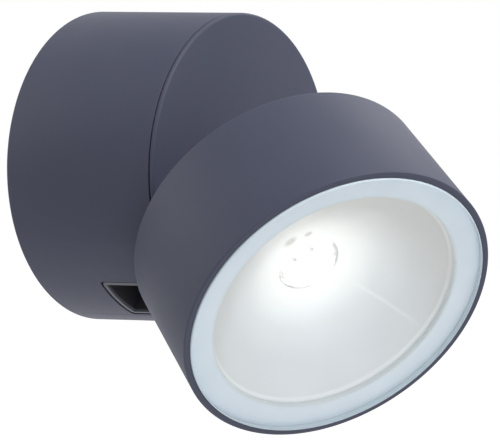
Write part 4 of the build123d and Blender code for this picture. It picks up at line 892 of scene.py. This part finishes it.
def make_camera():
    back = Vector((
        sin(VIEW_AZIMUTH) * cos(VIEW_ELEVATION),
        -cos(VIEW_AZIMUTH) * cos(VIEW_ELEVATION),
        sin(VIEW_ELEVATION),
    ))
    right = Vector((cos(VIEW_AZIMUTH), sin(VIEW_AZIMUTH), 0))
    up = back.cross(right)
    middle = OUT_OF_WALL * WALL_GAP * MM
    place = middle + right * VIEW_SHIFT_RIGHT + up * VIEW_SHIFT_UP + back * VIEW_DISTANCE
    bpy.ops.object.camera_add(location=place)
    camera = bpy.context.active_object
    camera.rotation_euler = Matrix((right, up, back)).transposed().to_euler()
    camera.data.lens = LENS
    camera.data.sensor_width = SENSOR
    camera.data.clip_start = 0.01
    bpy.context.scene.camera = camera


def make_lamp(name, place, size, power):
    """A round soft lamp that faces the object."""
    bpy.ops.object.light_add(type="AREA", location=place)
    lamp = bpy.context.active_object
    lamp.name = name
    lamp.rotation_euler = (Vector(place) - Vector(LAMP_TARGET)).to_track_quat("Z", "Y").to_euler()
    lamp.data.shape = "DISK"
    lamp.data.size = size
    lamp.data.energy = power


def background_rays(tree):
    """1 for rays that should see the white background, 0 for the others."""
    path = tree.nodes.new("ShaderNodeLightPath")
    total = path.outputs["Is Camera Ray"]
    for name in ("Is Glossy Ray", "Is Transmission Ray"):
        add = tree.nodes.new("ShaderNodeMath")
        add.operation = "MAXIMUM"
        tree.links.new(total, add.inputs[0])
        tree.links.new(path.outputs[name], add.inputs[1])
        total = add.outputs[0]
    return total


def make_world():
    """White where it is seen or reflected, and an even light of its own elsewhere."""
    world = bpy.data.worlds.new("studio")
    bpy.context.scene.world = world
    world.use_nodes = True
    tree = world.node_tree
    spread = tree.nodes.new("ShaderNodeMapRange")
    tree.links.new(background_rays(tree), spread.inputs["Value"])
    spread.inputs["To Min"].default_value = AMBIENT
    spread.inputs["To Max"].default_value = 1.0
    background = tree.nodes["Background"]
    background.inputs["Color"].default_value = (1, 1, 1, 1)
    tree.links.new(spread.outputs[0], background.inputs["Strength"])


def make_floor():
    """Pale floor: it looks white, and lights the object only by its colour."""
    floor = primitive("plane", "floor", size=FLOOR_SIZE, location=(0, 0, FLOOR_HEIGHT))
    finish = Finish("floor_white", Base_Color=(0.9, 0.9, 0.9), Roughness=0.9)
    seen = Value(finish, background_rays(finish.tree))
    glow = finish.node("ShaderNodeEmission", {}, {"Strength": FLOOR_GLOW})
    dark = finish.node("ShaderNodeEmission", {}, {"Strength": 0.0})
    shown = finish.node("ShaderNodeMixShader", {}, {0: seen, 1: dark, 2: glow})
    matt = Value(finish, finish.shader.outputs[0])
    both = finish.node("ShaderNodeAddShader", {}, {0: matt, 1: shown})
    finish.feed(finish.result.inputs["Surface"], both)
    floor.data.materials.append(finish.material)


# ---------------------------------------------------------------- putting it together
base_can = make_base_can()
cover_disc = make_cover()
head_shell = make_head_shell()
glass_disc = make_glass()
border = make_border()
bowl = make_bowl()
slot_tray = make_liner()
knuckle_arm = make_arm()
lens_dome = make_lens()
lens_ring = make_lens_ring()

coat = powder_coat()
for piece in (base_can, cover_disc, head_shell, knuckle_arm):
    piece.data.materials.append(coat)
slot_tray.data.materials.append(liner_grey())
lens_dome.data.materials.append(lit_lens())
lens_ring.data.materials.append(lit_ring())
glass_disc.data.materials.append(clear_glass())
glass_disc.data.materials.append(ground_edge())
border.data.materials.append(printed_border())
bowl.data.materials.append(reflector_white())

# The other nodes keep their shape: finish, then the nodes that have it.
OTHER_FINISHES = (
    (
        plain("black_rubber", (0.03, 0.03, 0.032), 0.7),
        ("wall_gasket", "pan_seal", "cable_grommet", "cover_seal", "lead_grommet"),
    ),
    (
        plain("zinc_plated_steel", (0.55, 0.55, 0.56), 0.32, metallic=1.0),
        (
            "pan_spindle", "hub_clip", "lock_screws", "cover_screws", "liner_screws", "hinge_bracket",
            "bracket_screws", "driver_screws", "arm_screws", "hinge_pin", "pin_nut", "spring_washer",
            "sink_screws", "board_screws",
        ),
    ),
    (
        plain("bare_casting", (0.40, 0.41, 0.43), 0.5, 0.7, 0.06, metallic=1.0, spread=0.12),
        ("wall_plate", "carrier_ring", "heat_sink"),
    ),
    (
        plain("turned_brass", (0.72, 0.53, 0.24), 0.3, metallic=1.0),
        ("hinge_bushes", "terminal_screws", "earth_screw"),
    ),
    (
        plain("white_plastic", (0.78, 0.78, 0.76), 0.45),
        ("driver_case", "driver_lid", "friction_washers", "pan_washer"),
    ),
    (plain("ivory_plastic", (0.75, 0.73, 0.65), 0.35), ("terminal_block",)),
    (plain("circuit_green", (0.03, 0.18, 0.08), 0.35), ("driver_board",)),
    (plain("moulded_black", (0.03, 0.03, 0.035), 0.35), ("driver_components",)),
    (plain("brown_insulation", (0.18, 0.07, 0.03), 0.45), ("supply_leads",)),
    (plain("white_insulation", (0.75, 0.75, 0.73), 0.45), ("driver_lead", "head_lead")),
    (plain("pale_silicone", (0.70, 0.71, 0.72), 0.6), ("glass_bond", "thermal_pad")),
    (plain("white_solder_mask", (0.82, 0.82, 0.80), 0.4), ("led_board",)),
    (plain("phosphor", (0.90, 0.72, 0.25), 0.5), ("led_chips",)),
)
for material, names in OTHER_FINISHES:
    for name in names:
        dress(name, material)

make_camera()
make_world()
make_floor()
for lamp in LAMPS:
    make_lamp(*lamp)
bpy.context.scene.view_settings.view_transform = "Standard"
